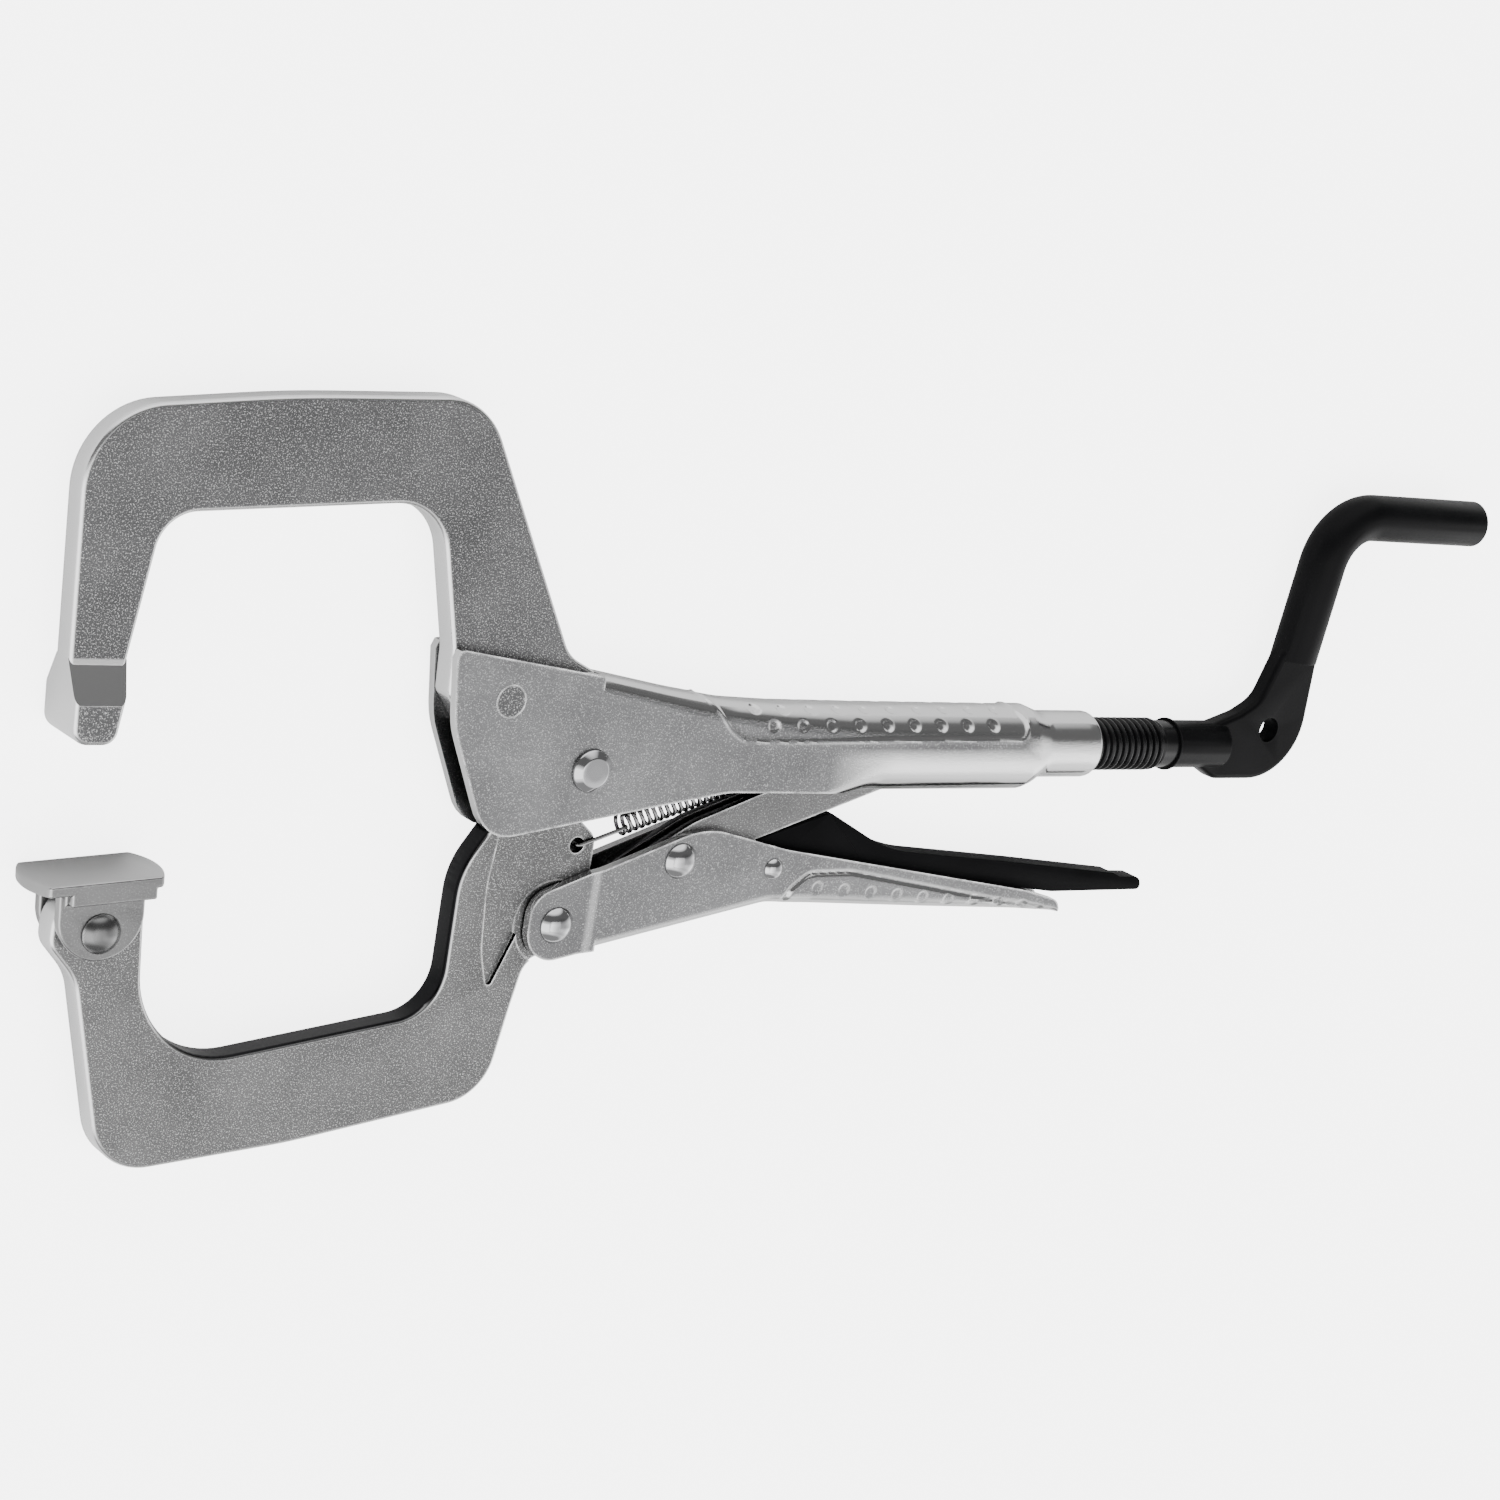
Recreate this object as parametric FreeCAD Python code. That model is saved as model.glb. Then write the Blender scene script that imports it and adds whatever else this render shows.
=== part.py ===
import FreeCAD, Part
import math
import os

# Locking C-clamp pliers with a crank screw, lying flat. Millimetres.
# Working frame: X along the adjusting screw towards the crank, Y across the tool
# from the moving jaw to the fixed jaw, Z through the thickness, mid-plane at Z = 0,
# X = 0 at the main pivot, Y = 0 on the screw axis. The whole tool is then moved so
# that the origin is the middle of its box, at its lowest point.

# Sheet, plate and fits
jaw_t = 6.3            # forged jaw plate
sheet = 2.1            # upper handle steel
handle_sheet = 2.0     # lower handle steel
link_sheet = 1.8       # toggle link steel
lever_sheet = 1.6      # release lever steel
side_gap = 0.25        # jaw plate to housing cheek, each side
ear_gap = 0.15         # between faces that slide on each other
run_fit = 0.05         # radial clearance of a pin in its hole
edge_r = 1.1           # rounded edge of the forged plates

# Pivots
pivot = (0.0, -4.5)            # moving jaw on the upper handle
jaw_rivet = (-22.5, 10.3)      # fixed jaw in the upper handle
handle_pin = (-1.5, -38.9)     # lower handle on the moving jaw
toggle_pin = (27.4, -25.0)     # link on the lower handle
lever_pin = (53.1, -27.4)      # release lever in the lower handle
link_nose = (95.0, 0.0)        # link against the screw, on the screw axis
spring_hole = (1.8, -21.9)     # spring hook in the moving jaw
spring_post = (57.0, -3.2)     # spring's other end, inside the upper handle
reach = 107.4                  # main pivot to pad rivet, along X
pad_drop = 36.7                # pad rivet below the screw axis

# Pins and heads
pivot_r = 3.0
pivot_head_r = 4.7
pivot_head_t = 1.9
pin_r = 2.5
head_r = 4.0
head_t = 2.3
small_pin_r = 1.6
small_head_r = 2.45
small_head_t = 1.4
flush_r = 3.6
pad_head_r = 4.1
spring_post_r = 1.2

# Fixed jaw
bar_top = 71.8
bar_bottom = 50.3
tip_end = 1.1
tip_half_t = 7.0
tip_flare_start = 17.0
tip_flare_end = 9.0

# Moving jaw
hub_r = 9.0
hub_gap = 0.5
ear_half_t = 1.9       # thinned ear under the lower handle's ears
ear_relief_r = 9.3
recess_half_t = 2.2
pad_lobe_r = 8.6
spring_hole_r = 1.75

# Swivel pad
pad_r = 14.1
pad_half_w = 8.0
pad_t = 2.3
pad_top = -25.4
pad_tilt = 4.2         # degrees, as it rests
pad_ear_t = 2.3
pad_ear_r = 9.0
pad_lip_h = 4.6
pad_slit = 1.2

# Upper handle
web_start = 0.0
barrel_start = 73.0
barrel_end = 121.0
barrel_top = 9.45
barrel_gap = 0.25      # screw to the inside of the barrel
barrel_bottom = -10.5
collar_start = 126.0
collar_end = 142.5
collar_r = 7.8
slot_end = 102.0       # end of the opening under the barrel

# Lower handle
ear_outer_r = 7.0
joggle_x = 7.0
link_half_w = 3.0
tail_x = 140.4

# Release lever
lever_half_w = 2.8
lever_tail_x = 168.3

# Adjusting screw and crank
screw_d = 12.6
pitch = 1.954          # 13 threads to the inch
thread_depth = 1.15
thread_end = 169.0
nose_r = 5.0
nose_gap = 2.3
button_t = 3.0
button_stem_r = 2.0
button_stem_len = 5.0
crank_d = 11.4
crank_throw = 57.8
crank_rise_x = 203.5
crank_tail_x = 259.5
eye_t = 5.0
eye_x = 200.6
eye_y = 4.2
eye_hole_r = 3.1

# Spring
wire_d = 0.9
coil_d = 5.6

cheek_in = jaw_t / 2 + side_gap
cheek_out = cheek_in + sheet
ear_in = recess_half_t + ear_gap
ear_out = ear_in + handle_sheet
channel_in = link_half_w + ear_gap
channel_out = channel_in + handle_sheet
screw_r = screw_d / 2
barrel_half_w = screw_r + barrel_gap + sheet
pad_pin = (-reach, -pad_drop)


def vec(x, y, z=0.0):
    return FreeCAD.Vector(x, y, z)


def rounded(corners, z=0.0):
    """Closed wire through (x, y, radius) corners, each rounded by a tangent arc."""
    count = len(corners)
    arcs = []
    for i in range(count):
        x, y, r = corners[i]
        here = vec(x, y, z)
        before = vec(corners[i - 1][0], corners[i - 1][1], z) - here
        after = vec(corners[(i + 1) % count][0], corners[(i + 1) % count][1], z) - here
        before.normalize()
        after.normalize()
        half = before.getAngle(after) / 2
        if r <= 0 or math.pi / 2 - half < 0.005:
            arcs.append((here, None, here))
            continue
        along = r / math.tan(half)
        middle = before + after
        middle.normalize()
        top = here + middle * (r / math.sin(half) - r)
        arcs.append((here + before * along, top, here + after * along))
    edges = []
    for i in range(count):
        start, top, end = arcs[i]
        if top is not None:
            edges.append(Part.Arc(start, top, end).toShape())
        following = arcs[(i + 1) % count][0]
        if (following - end).Length > 1e-6:
            edges.append(Part.LineSegment(end, following).toShape())
    return Part.Wire(edges)


def plate(corners, low, high):
    """Flat plate of the rounded outline between two heights."""
    return Part.Face(rounded(corners, low)).extrude(vec(0, 0, high - low))


def box(x0, x1, y0, y1, z0, z1):
    return Part.makeBox(x1 - x0, y1 - y0, z1 - z0, vec(x0, y0, z0))


def disc(at, r, low, high):
    return Part.makeCylinder(r, high - low, vec(at[0], at[1], low))


def both_sides(shape):
    """The shape together with its mirror image in the mid-plane."""
    return [shape, shape.mirror(vec(0, 0, 0), vec(0, 0, 1))]


def soften(shape, r, flat_z):
    """Round the edges that lie wholly in the two faces at plus and minus flat_z."""
    edges = []
    for edge in shape.Edges:
        b = edge.BoundBox
        if abs(b.ZMax - b.ZMin) < 1e-4 and abs(abs(b.ZMax) - flat_z) < 1e-4:
            edges.append(edge)
    return shape.makeFillet(r, edges)


def dome(at, r, height, z, up=1):
    """Low spherical head standing on the plane z."""
    ball_r = (r * r + height * height) / (2 * height)
    ball = Part.makeSphere(ball_r, vec(at[0], at[1], z - up * (ball_r - height)))
    low, high = (z, z + height) if up > 0 else (z - height, z)
    return ball.common(disc(at, r, low, high))


def domed_rivet(at, shank_r, r, height, seat):
    """Rivet with a domed head on each outer face, seated at plus and minus seat."""
    shank = disc(at, shank_r, -seat, seat)
    return shank.fuse([dome(at, r, height, seat), dome(at, r, height, -seat, -1)]).removeSplitter()


def fixed_jaw():
    left = -reach - 15.6
    outline = [
        (-reach - 11.8, tip_end, 3.5),
        (left, bar_top - 7.2, 17.0),
        (27.4 - reach, bar_top - 2.2, 300.0),
        (-37.2, bar_top, 15.5),
        (-8.0, 19.3, 8.5),
        (web_start - 1.2, 16.2, 0.8),
        (web_start - 1.2, 12.4, 0.6),
        (14.0, 10.0, 1.5),
        (14.0, -2.0, 1.0),
        (-13.5, -2.0, 1.0),
        (-31.0, 4.0, 2.0),
        (-36.2, 10.8, 2.5),
        (-36.7, 20.0, 10.0),
        (-44.4, bar_bottom, 12.0),
        (-reach + 3.2, bar_bottom - 4.9, 8.5),
        (-reach - 1.1, tip_end + 13.3, 8.0),
        (-reach - 2.8, tip_end, 3.0),
    ]
    body = plate(outline, -jaw_t / 2, jaw_t / 2)
    body = soften(body, edge_r, jaw_t / 2)
    body = body.cut(disc(pivot, hub_r + hub_gap, -jaw_t, jaw_t))
    body = body.cut(disc(jaw_rivet, flush_r - 0.6, -jaw_t, jaw_t))
    tip = plate(outline, -tip_half_t, tip_half_t)
    side = [
        vec(left - 5, tip_end - 5, tip_half_t),
        vec(left - 5, tip_flare_end, tip_half_t),
        vec(left - 5, tip_flare_start, jaw_t / 2 - 0.6),
        vec(left - 5, tip_flare_start, -jaw_t / 2 + 0.6),
        vec(left - 5, tip_flare_end, -tip_half_t),
        vec(left - 5, tip_end - 5, -tip_half_t),
    ]
    wedge = Part.Face(Part.makePolygon(side + [side[0]])).extrude(vec(30, 0, 0))
    tip = soften(tip, edge_r, tip_half_t).common(wedge)
    return body.fuse(tip).removeSplitter()


def moving_jaw():
    px, py = pad_pin
    top = py + pad_lobe_r
    outline = [
        (px - 9.3, top, pad_lobe_r - 0.2),
        (px + 9.6, top, pad_lobe_r - 0.2),
        (px + 11.2, -46.0, 20.0),
        (px + 12.8, -67.6, 20.0),
        (-26.6, -57.6, 11.0),
        (-26.9, -27.0, 18.0),
        (-15.6, -9.7, 5.0),
        (-6.0, -1.0, 1.5),
        (6.0, -6.0, 1.0),
        (1.2, -16.0, 0.8),
        (6.2, -20.0, 4.0),
        (6.2, -29.5, 2.0),
        (5.6, -46.1, 6.9),
        (-6.5, -46.3, 5.0),
        (-8.6, -57.0, 20.0),
        (-12.0, -77.2, 12.0),
        (-58.0, -84.6, 120.0),
        (px + 7.6, -88.6, 13.0),
        (px - 3.0, -47.0, 12.0),
        (px - 9.3, -40.0, 5.0),
    ]
    body = plate(outline, -jaw_t / 2, jaw_t / 2)
    body = soften(body, edge_r, jaw_t / 2)
    body = body.fuse(disc(pivot, hub_r, -jaw_t / 2, jaw_t / 2))
    recess = [
        (-17.5, -8.0, 3.0),
        (-19.6, -30.0, 30.0),
        (-18.4, -44.5, 20.0),
        (-15.6, -53.6, 0.8),
        (-10.9, -42.0, 4.0),
        (-8.5, -34.5, 4.0),
        (20.0, -34.5, 1.0),
        (20.0, 12.0, 1.0),
        (-17.5, 12.0, 1.0),
    ]
    for cutter in both_sides(plate(recess, recess_half_t, jaw_t)):
        body = body.cut(cutter)
    for cutter in both_sides(disc(handle_pin, ear_relief_r, ear_half_t, jaw_t)):
        body = body.cut(cutter)
    thrust = disc(pivot, hub_r - 1.0, -jaw_t / 2, jaw_t / 2)
    body = body.fuse(thrust).removeSplitter()
    body = body.cut(disc(pivot, pivot_r + run_fit, -jaw_t, jaw_t))
    body = body.cut(disc(handle_pin, pin_r + run_fit, -jaw_t, jaw_t))
    body = body.cut(disc(pad_pin, pin_r + run_fit, -jaw_t, jaw_t))
    return body.cut(disc(spring_hole, spring_hole_r, -jaw_t, jaw_t))


def channel_section(x, half_w, top, corner, bottom):
    """Upright section with a flat bottom and two rounded top corners."""
    c = min(corner, half_w - 0.05)
    k = c * (1 - math.sqrt(0.5))
    p = [
        vec(x, bottom, -half_w),
        vec(x, top - c, -half_w),
        vec(x, top - k, -half_w + k),
        vec(x, top, -half_w + c),
        vec(x, top, half_w - c),
        vec(x, top - k, half_w - k),
        vec(x, top - c, half_w),
        vec(x, bottom, half_w),
    ]
    edges = [
        Part.LineSegment(p[0], p[1]).toShape(),
        Part.Arc(p[1], p[2], p[3]).toShape(),
        Part.LineSegment(p[3], p[4]).toShape(),
        Part.Arc(p[4], p[5], p[6]).toShape(),
        Part.LineSegment(p[6], p[7]).toShape(),
        Part.LineSegment(p[7], p[0]).toShape(),
    ]
    return Part.Wire(edges)


def channel_body(inset, low):
    """Front of the upper handle as one solid, drawn in by inset on the sides and top."""
    stations = [
        (web_start, cheek_out, 15.6, 3.2),
        (20.0, cheek_out, 12.2, 3.8),
        (34.0, cheek_out + 0.3, 10.3, 4.6),
        (48.0, cheek_out + 1.2, 9.6, 5.2),
        (barrel_start, barrel_half_w - 0.3, barrel_top, barrel_half_w - 1.2),
        (barrel_end, barrel_half_w, barrel_top, barrel_half_w - 0.1),
    ]
    wires = []
    for x, half_w, top, corner in stations:
        corner_in = max(corner - inset, 0.6)
        wires.append(channel_section(x, half_w - inset, top - inset, corner_in, low))
    return Part.makeLoft(wires, True, True)


def barrel_section(x, half_w, top, bottom):
    """Upright oval: two half circles joined by flat sides."""
    p = [
        vec(x, top - half_w, -half_w),
        vec(x, top, 0),
        vec(x, top - half_w, half_w),
        vec(x, bottom + half_w, half_w),
        vec(x, bottom, 0),
        vec(x, bottom + half_w, -half_w),
    ]
    edges = [
        Part.Arc(p[0], p[1], p[2]).toShape(),
        Part.LineSegment(p[2], p[3]).toShape(),
        Part.Arc(p[3], p[4], p[5]).toShape(),
        Part.LineSegment(p[5], p[0]).toShape(),
    ]
    return Part.Wire(edges)


def along_x(at_x, r, length):
    return Part.makeCylinder(r, length, vec(at_x, 0, 0), vec(1, 0, 0))


def upper_handle():
    side = [
        (-37.3, 21.2, 1.5),
        (-35.0, 4.5, 20.0),
        (-23.5, -19.9, 9.0),
        (36.5, -9.5, 25.0),
        (barrel_end, -8.8, 0.0),
        (barrel_end, 30.0, 0.0),
        (web_start, 15.8, 0.0),
    ]
    profile = plate(side, -20, 20)
    front = box(-60, web_start, -40, 40, -cheek_out, cheek_out)
    outer = front.fuse(channel_body(0.0, -40.0)).common(profile)
    tube = Part.Face(barrel_section(barrel_start, barrel_half_w, barrel_top, barrel_bottom))
    outer = outer.fuse(tube.extrude(vec(barrel_end - barrel_start, 0, 0)))
    shoulder_half = collar_r - 0.02
    shoulder = Part.makeLoft([
        barrel_section(barrel_end, barrel_half_w, barrel_top, barrel_bottom),
        barrel_section(collar_start, shoulder_half, collar_r, -collar_r),
    ], True, True)
    collar = along_x(collar_start - 0.5, collar_r, collar_end - collar_start + 0.5)
    outer = outer.fuse([shoulder, collar])
    inner_half = barrel_half_w - sheet
    front_in = box(-60, web_start + 0.01, -40, 40, -cheek_in, cheek_in)
    inner = channel_body(sheet, -40.0).fuse(front_in)
    inner = inner.common(box(-70, slot_end, -60, 60, -20, 20))
    bore = Part.Face(barrel_section(barrel_start - 5, inner_half, barrel_top - sheet, barrel_bottom + sheet))
    bore = bore.extrude(vec(barrel_end - barrel_start + 5, 0, 0))
    thread_bore = along_x(barrel_end - 1, screw_r + run_fit, 40)
    body = outer.cut([inner, bore, thread_bore])
    body = body.cut([
        disc(pivot, pivot_r, -cheek_out, cheek_out),
        disc(jaw_rivet, flush_r, -cheek_out, cheek_out),
        disc(spring_post, spring_post_r, -spring_post_half(), spring_post_half()),
    ])
    return body.removeSplitter()


def spring_post_half():
    """Half length of the spring post: it ends inside the housing's wall, which widens towards the barrel."""
    near_x, near_half = 48.0, cheek_out + 1.2
    share = (spring_post[0] - near_x) / (barrel_start - near_x)
    return near_half + share * (barrel_half_w - 0.3 - near_half) - 0.8


def fixed_jaw_rivet():
    neck = flush_r - 0.6
    shank = disc(jaw_rivet, neck, -cheek_in, cheek_in)
    heads = both_sides(disc(jaw_rivet, flush_r, cheek_in, cheek_out))
    return shank.fuse(heads).removeSplitter()


def main_pivot_rivet():
    shank = disc(pivot, pivot_r, -cheek_out, cheek_out)
    rim_h = 0.8
    rim = disc(pivot, pivot_head_r, cheek_out, cheek_out + rim_h)
    crown = Part.makeCone(pivot_head_r, pivot_head_r - 1.6, pivot_head_t - rim_h,
                          vec(pivot[0], pivot[1], cheek_out + rim_h))
    return shank.fuse(both_sides(rim) + both_sides(crown)).removeSplitter()


def lower_handle_outline():
    ax, ay = handle_pin
    left = ax - ear_outer_r - 0.1
    return [
        (left, ay + 6.3, 6.3),
        (33.0, -17.4, 20.0),
        (56.0, -22.9, 30.0),
        (tail_x - 11.4, -34.2, 20.0),
        (tail_x - 0.8, -36.9, 3.0),
        (tail_x, -40.1, 0.9),
        (100.0, -38.3, 60.0),
        (53.5, -35.9, 14.0),
        (left, ay - 9.5, ear_outer_r),
    ]


def lower_handle():
    outline = lower_handle_outline()
    tail = plate(outline, -channel_out, channel_out)
    tail = tail.common(box(joggle_x, tail_x + 5, -80, 20, -20, 20))
    ears = plate(outline, -ear_out, ear_out).common(box(-60, joggle_x, -80, 20, -20, 20))
    body = tail.fuse(ears)
    ax, ay = handle_pin
    floor = [
        (joggle_x + 1.5, 30.0, 0.0),
        (tail_x + 20, 30.0, 0.0),
        (tail_x + 20, -40.9 + handle_sheet, 0.0),
        (100.0, -38.3 + handle_sheet, 60.0),
        (53.5, -35.9 + handle_sheet, 14.0),
        (joggle_x + 1.5, ay - 6.1 + handle_sheet, 0.0),
    ]
    body = body.cut(plate(floor, -channel_in, channel_in))
    body = body.cut(box(-60, joggle_x + 1.6, -80, 20, -ear_in, ear_in))
    return body.cut([
        disc(handle_pin, pin_r, -20, 20),
        disc(toggle_pin, pin_r, -20, 20),
        disc(lever_pin, small_pin_r, -20, 20),
    ]).removeSplitter()


def along_link(u, v):
    """Point u along the link from its pin to its nose, v above that line."""
    dx = link_nose[0] - toggle_pin[0]
    dy = link_nose[1] - toggle_pin[1]
    length = math.hypot(dx, dy)
    c, s = dx / length, dy / length
    return toggle_pin[0] + c * u - s * v, toggle_pin[1] + s * u + c * v


def link_length():
    return math.hypot(link_nose[0] - toggle_pin[0], link_nose[1] - toggle_pin[1])


def link_corners(rows):
    corners = []
    for u, v, r in rows:
        x, y = along_link(u, v)
        corners.append((x, y, r))
    return corners


def toggle_link():
    far = link_length()
    rows = [
        (-14.0, 2.6, 1.8),
        (6.0, 6.3, 20.0),
        (30.0, 6.3, 20.0),
        (far - 8.0, nose_r, 12.0),
        (far + nose_r, nose_r, nose_r - 0.4),
        (far + nose_r, -nose_r, nose_r - 0.4),
        (far - 14.0, -4.6, 12.0),
        (20.0, -3.6, 20.0),
        (-5.0, -5.0, 4.0),
        (-14.0, -1.2, 1.8),
    ]
    body = plate(link_corners(rows), -link_half_w, link_half_w)
    inner_half = link_half_w - link_sheet
    hollow_rows = [
        (-30.0, 30.0, 0.0),
        (far - 12.0, 30.0, 0.0),
        (far - 12.0, -4.5 + link_sheet, 2.0),
        (20.0, -3.6 + link_sheet, 20.0),
        (8.0, -3.6 + link_sheet, 2.0),
        (2.0, -30.0, 0.0),
        (-30.0, -30.0, 0.0),
    ]
    body = body.cut(plate(link_corners(hollow_rows), -inner_half, inner_half))
    return body.cut(disc(toggle_pin, pin_r + run_fit, -20, 20)).removeSplitter()


def release_lever_outline():
    px, py = lever_pin
    return [
        (px - 6.2, py + 1.0, 3.0),
        (px - 3.0, py + 6.4, 1.0),
        (68.5, -15.4, 1.3),
        (86.8, -24.4, 38.0),
        (125.9, -28.1, 60.0),
        (158.3, -31.5, 1.5),
        (161.0, -32.5, 1.0),
        (lever_tail_x - 1.2, -32.7, 2.0),
        (lever_tail_x, -35.9, 1.2),
        (139.0, -35.7, 20.0),
        (110.0, -32.2, 20.0),
        (80.0, -28.3, 10.0),
        (66.0, -30.2, 6.0),
        (px - 5.0, py - 4.2, 3.5),
    ]


def release_lever():
    outline = release_lever_outline()
    body = plate(outline, -lever_half_w, lever_half_w)
    inner_half = lever_half_w - lever_sheet
    hollow = [
        (40.0, -60.0, 0.0),
        (40.0, -25.5, 0.0),
        (68.5, -18.6, 2.0),
        (86.8, -26.5, 38.0),
        (125.9, -29.9, 60.0),
        (lever_tail_x - 8.0, -34.2, 1.0),
        (lever_tail_x - 3.0, -60.0, 0.0),
    ]
    body = body.cut(plate(hollow, -inner_half, inner_half))
    return body.cut(disc(lever_pin, small_pin_r + run_fit, -20, 20)).removeSplitter()


def swivel_pad():
    px, py = pad_pin
    middle = (px - 0.3, 0.0)
    top = Part.makeCylinder(pad_r, pad_t, vec(middle[0], pad_top - pad_t, 0), vec(0, 1, 0))
    top = top.common(box(-400, 400, -400, 400, -pad_half_w, pad_half_w))
    fold = math.sqrt(pad_r ** 2 - pad_half_w ** 2) - 3.2
    ear_in_z = jaw_t / 2 + ear_gap
    ear_out_z = ear_in_z + pad_ear_t
    pieces = []
    lip = box(middle[0] - fold + pad_slit, middle[0] + fold + 2.2,
              pad_top - pad_lip_h, pad_top - 0.6, ear_in_z, pad_half_w)
    ear = plate([
        (px - pad_ear_r, pad_top - 1.0, 0.5),
        (px + pad_ear_r, pad_top - 1.0, 0.5),
        (px + pad_ear_r, py - 5.6, pad_ear_r - 0.1),
        (px - pad_ear_r, py - 5.6, pad_ear_r - 0.1),
    ], ear_in_z, ear_out_z)
    pieces.extend(both_sides(lip))
    pieces.extend(both_sides(ear))
    body = top.fuse(pieces).removeSplitter()
    body = body.cut(disc(pad_pin, pin_r, -20, 20))
    body.rotate(vec(px, py), vec(0, 0, 1), pad_tilt)
    return body


def pad_rivet():
    seat = jaw_t / 2 + ear_gap + pad_ear_t
    return domed_rivet(pad_pin, pin_r, pad_head_r, head_t, seat)


def crank_path_rod(points, r):
    """Round rod along straight runs joined by tangent arcs; points are (x, y, bend)."""
    edges = []
    last = vec(points[0][0], points[0][1])
    for i in range(1, len(points) - 1):
        x, y, bend = points[i]
        here = vec(x, y)
        before = vec(points[i - 1][0], points[i - 1][1]) - here
        after = vec(points[i + 1][0], points[i + 1][1]) - here
        before.normalize()
        after.normalize()
        half = before.getAngle(after) / 2
        along = bend / math.tan(half)
        middle = before + after
        middle.normalize()
        start = here + before * along
        end = here + after * along
        top = here + middle * (bend / math.sin(half) - bend)
        edges.append(Part.LineSegment(last, start).toShape())
        edges.append(Part.Arc(start, top, end).toShape())
        last = end
    edges.append(Part.LineSegment(last, vec(points[-1][0], points[-1][1])).toShape())
    path = Part.Wire(edges)
    circle = Part.makeCircle(r, vec(points[0][0], points[0][1]), vec(1, 0, 0))
    return path.makePipeShell([Part.Wire([circle])], True, False, 2)


def screw_tip_x():
    """Face of the thrust button that meets the link's nose."""
    return link_nose[0] + nose_r + nose_gap


def adjusting_screw():
    start = screw_tip_x() + button_t
    rod_start = thread_end - 2.0
    thread = along_x(start, screw_r, thread_end - start)
    turns = int((thread_end - start) / pitch)
    root_r = screw_r - thread_depth
    grooves = []
    for i in range(turns):
        x = start + (i + 0.5) * pitch
        flank = pitch * 0.42
        tooth = Part.makePolygon([
            vec(x - flank, screw_r + 0.1),
            vec(x - 0.15, root_r),
            vec(x + 0.15, root_r),
            vec(x + flank, screw_r + 0.1),
            vec(x - flank, screw_r + 0.1),
        ])
        grooves.append(Part.Face(tooth).revolve(vec(0, 0), vec(1, 0, 0), 360))
    thread = thread.cut(grooves)
    rod = crank_path_rod([
        (rod_start, 0.0, 0.0),
        (crank_rise_x, 0.0, 12.0),
        (crank_rise_x + 7.5, crank_throw, 14.0),
        (crank_tail_x, crank_throw, 0.0),
    ], crank_d / 2)
    eye = plate([
        (rod_start + 12.0, 4.5, 2.0),
        (rod_start + 23.0, 8.2, 8.0),
        (crank_rise_x - 7.5, 11.7, 8.0),
        (crank_rise_x - 2.3, 26.0, 6.0),
        (crank_rise_x + 9.1, 27.0, 3.0),
        (crank_rise_x + 9.5, -8.4, 15.5),
        (rod_start + 18.5, -8.4, 6.0),
        (rod_start + 11.0, -4.6, 2.0),
    ], -eye_t / 2, eye_t / 2)
    eye = soften(eye, 1.4, eye_t / 2)
    flats = both_sides(plate([
        (rod_start + 19.0, -30.0, 0.0),
        (rod_start + 19.0, 7.0, 2.0),
        (crank_rise_x - 9.0, 11.0, 6.0),
        (crank_rise_x - 3.0, 21.5, 2.0),
        (crank_rise_x + 30.0, 21.5, 0.0),
        (crank_rise_x + 30.0, -30.0, 0.0),
    ], eye_t / 2, 30.0))
    rod = rod.cut(flats)
    body = thread.fuse([rod, eye]).removeSplitter()
    body = body.cut(along_x(start - 1, button_stem_r + run_fit, button_stem_len + 1))
    return body.cut(disc((eye_x, eye_y), eye_hole_r, -20, 20))


def thrust_button():
    face = screw_tip_x()
    head = along_x(face, screw_r - 1.2, button_t)
    head = head.makeFillet(0.8, [e for e in head.Edges if abs(e.BoundBox.XMax - face) < 1e-6])
    stem = along_x(face + button_t, button_stem_r, button_stem_len - 0.3)
    return head.fuse(stem).removeSplitter()


def spring_anchor_pin():
    half = spring_post_half()
    return disc(spring_post, spring_post_r, -half, half)


def tension_spring():
    """Closed tube of the coil's outer shape, with a wire hook at each end."""
    sx, sy = spring_hole
    ex, ey = spring_post
    length = math.hypot(ex - sx, ey - sy)
    c, s = (ex - sx) / length, (ey - sy) / length
    coil_from = 12.0
    coil_to = length - 9.0
    coil = Part.makeCylinder(coil_d / 2, coil_to - coil_from,
                             vec(sx + c * coil_from, sy + s * coil_from), vec(c, s, 0))
    coil = coil.cut(Part.makeCylinder(coil_d / 2 - wire_d, coil_to - coil_from,
                                      vec(sx + c * coil_from, sy + s * coil_from), vec(c, s, 0)))
    arms = []
    arm_r = wire_d / 2
    z_arm = recess_half_t + arm_r + 0.1
    first = Part.makeCylinder(arm_r, coil_from + 0.4, vec(sx, sy, z_arm), vec(c, s, 0))
    drop = Part.makeCylinder(arm_r, 2 * z_arm, vec(sx, sy, -z_arm), vec(0, 0, 1))
    knee = Part.makeSphere(arm_r, vec(sx, sy, z_arm))
    start = coil_to - 0.4
    last = Part.makeCylinder(arm_r, length - start - spring_post_r,
                             vec(sx + c * start, sy + s * start, z_arm), vec(c, s, 0))
    arms.extend([first, drop, knee, last])
    return coil.fuse(arms).removeSplitter()


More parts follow.
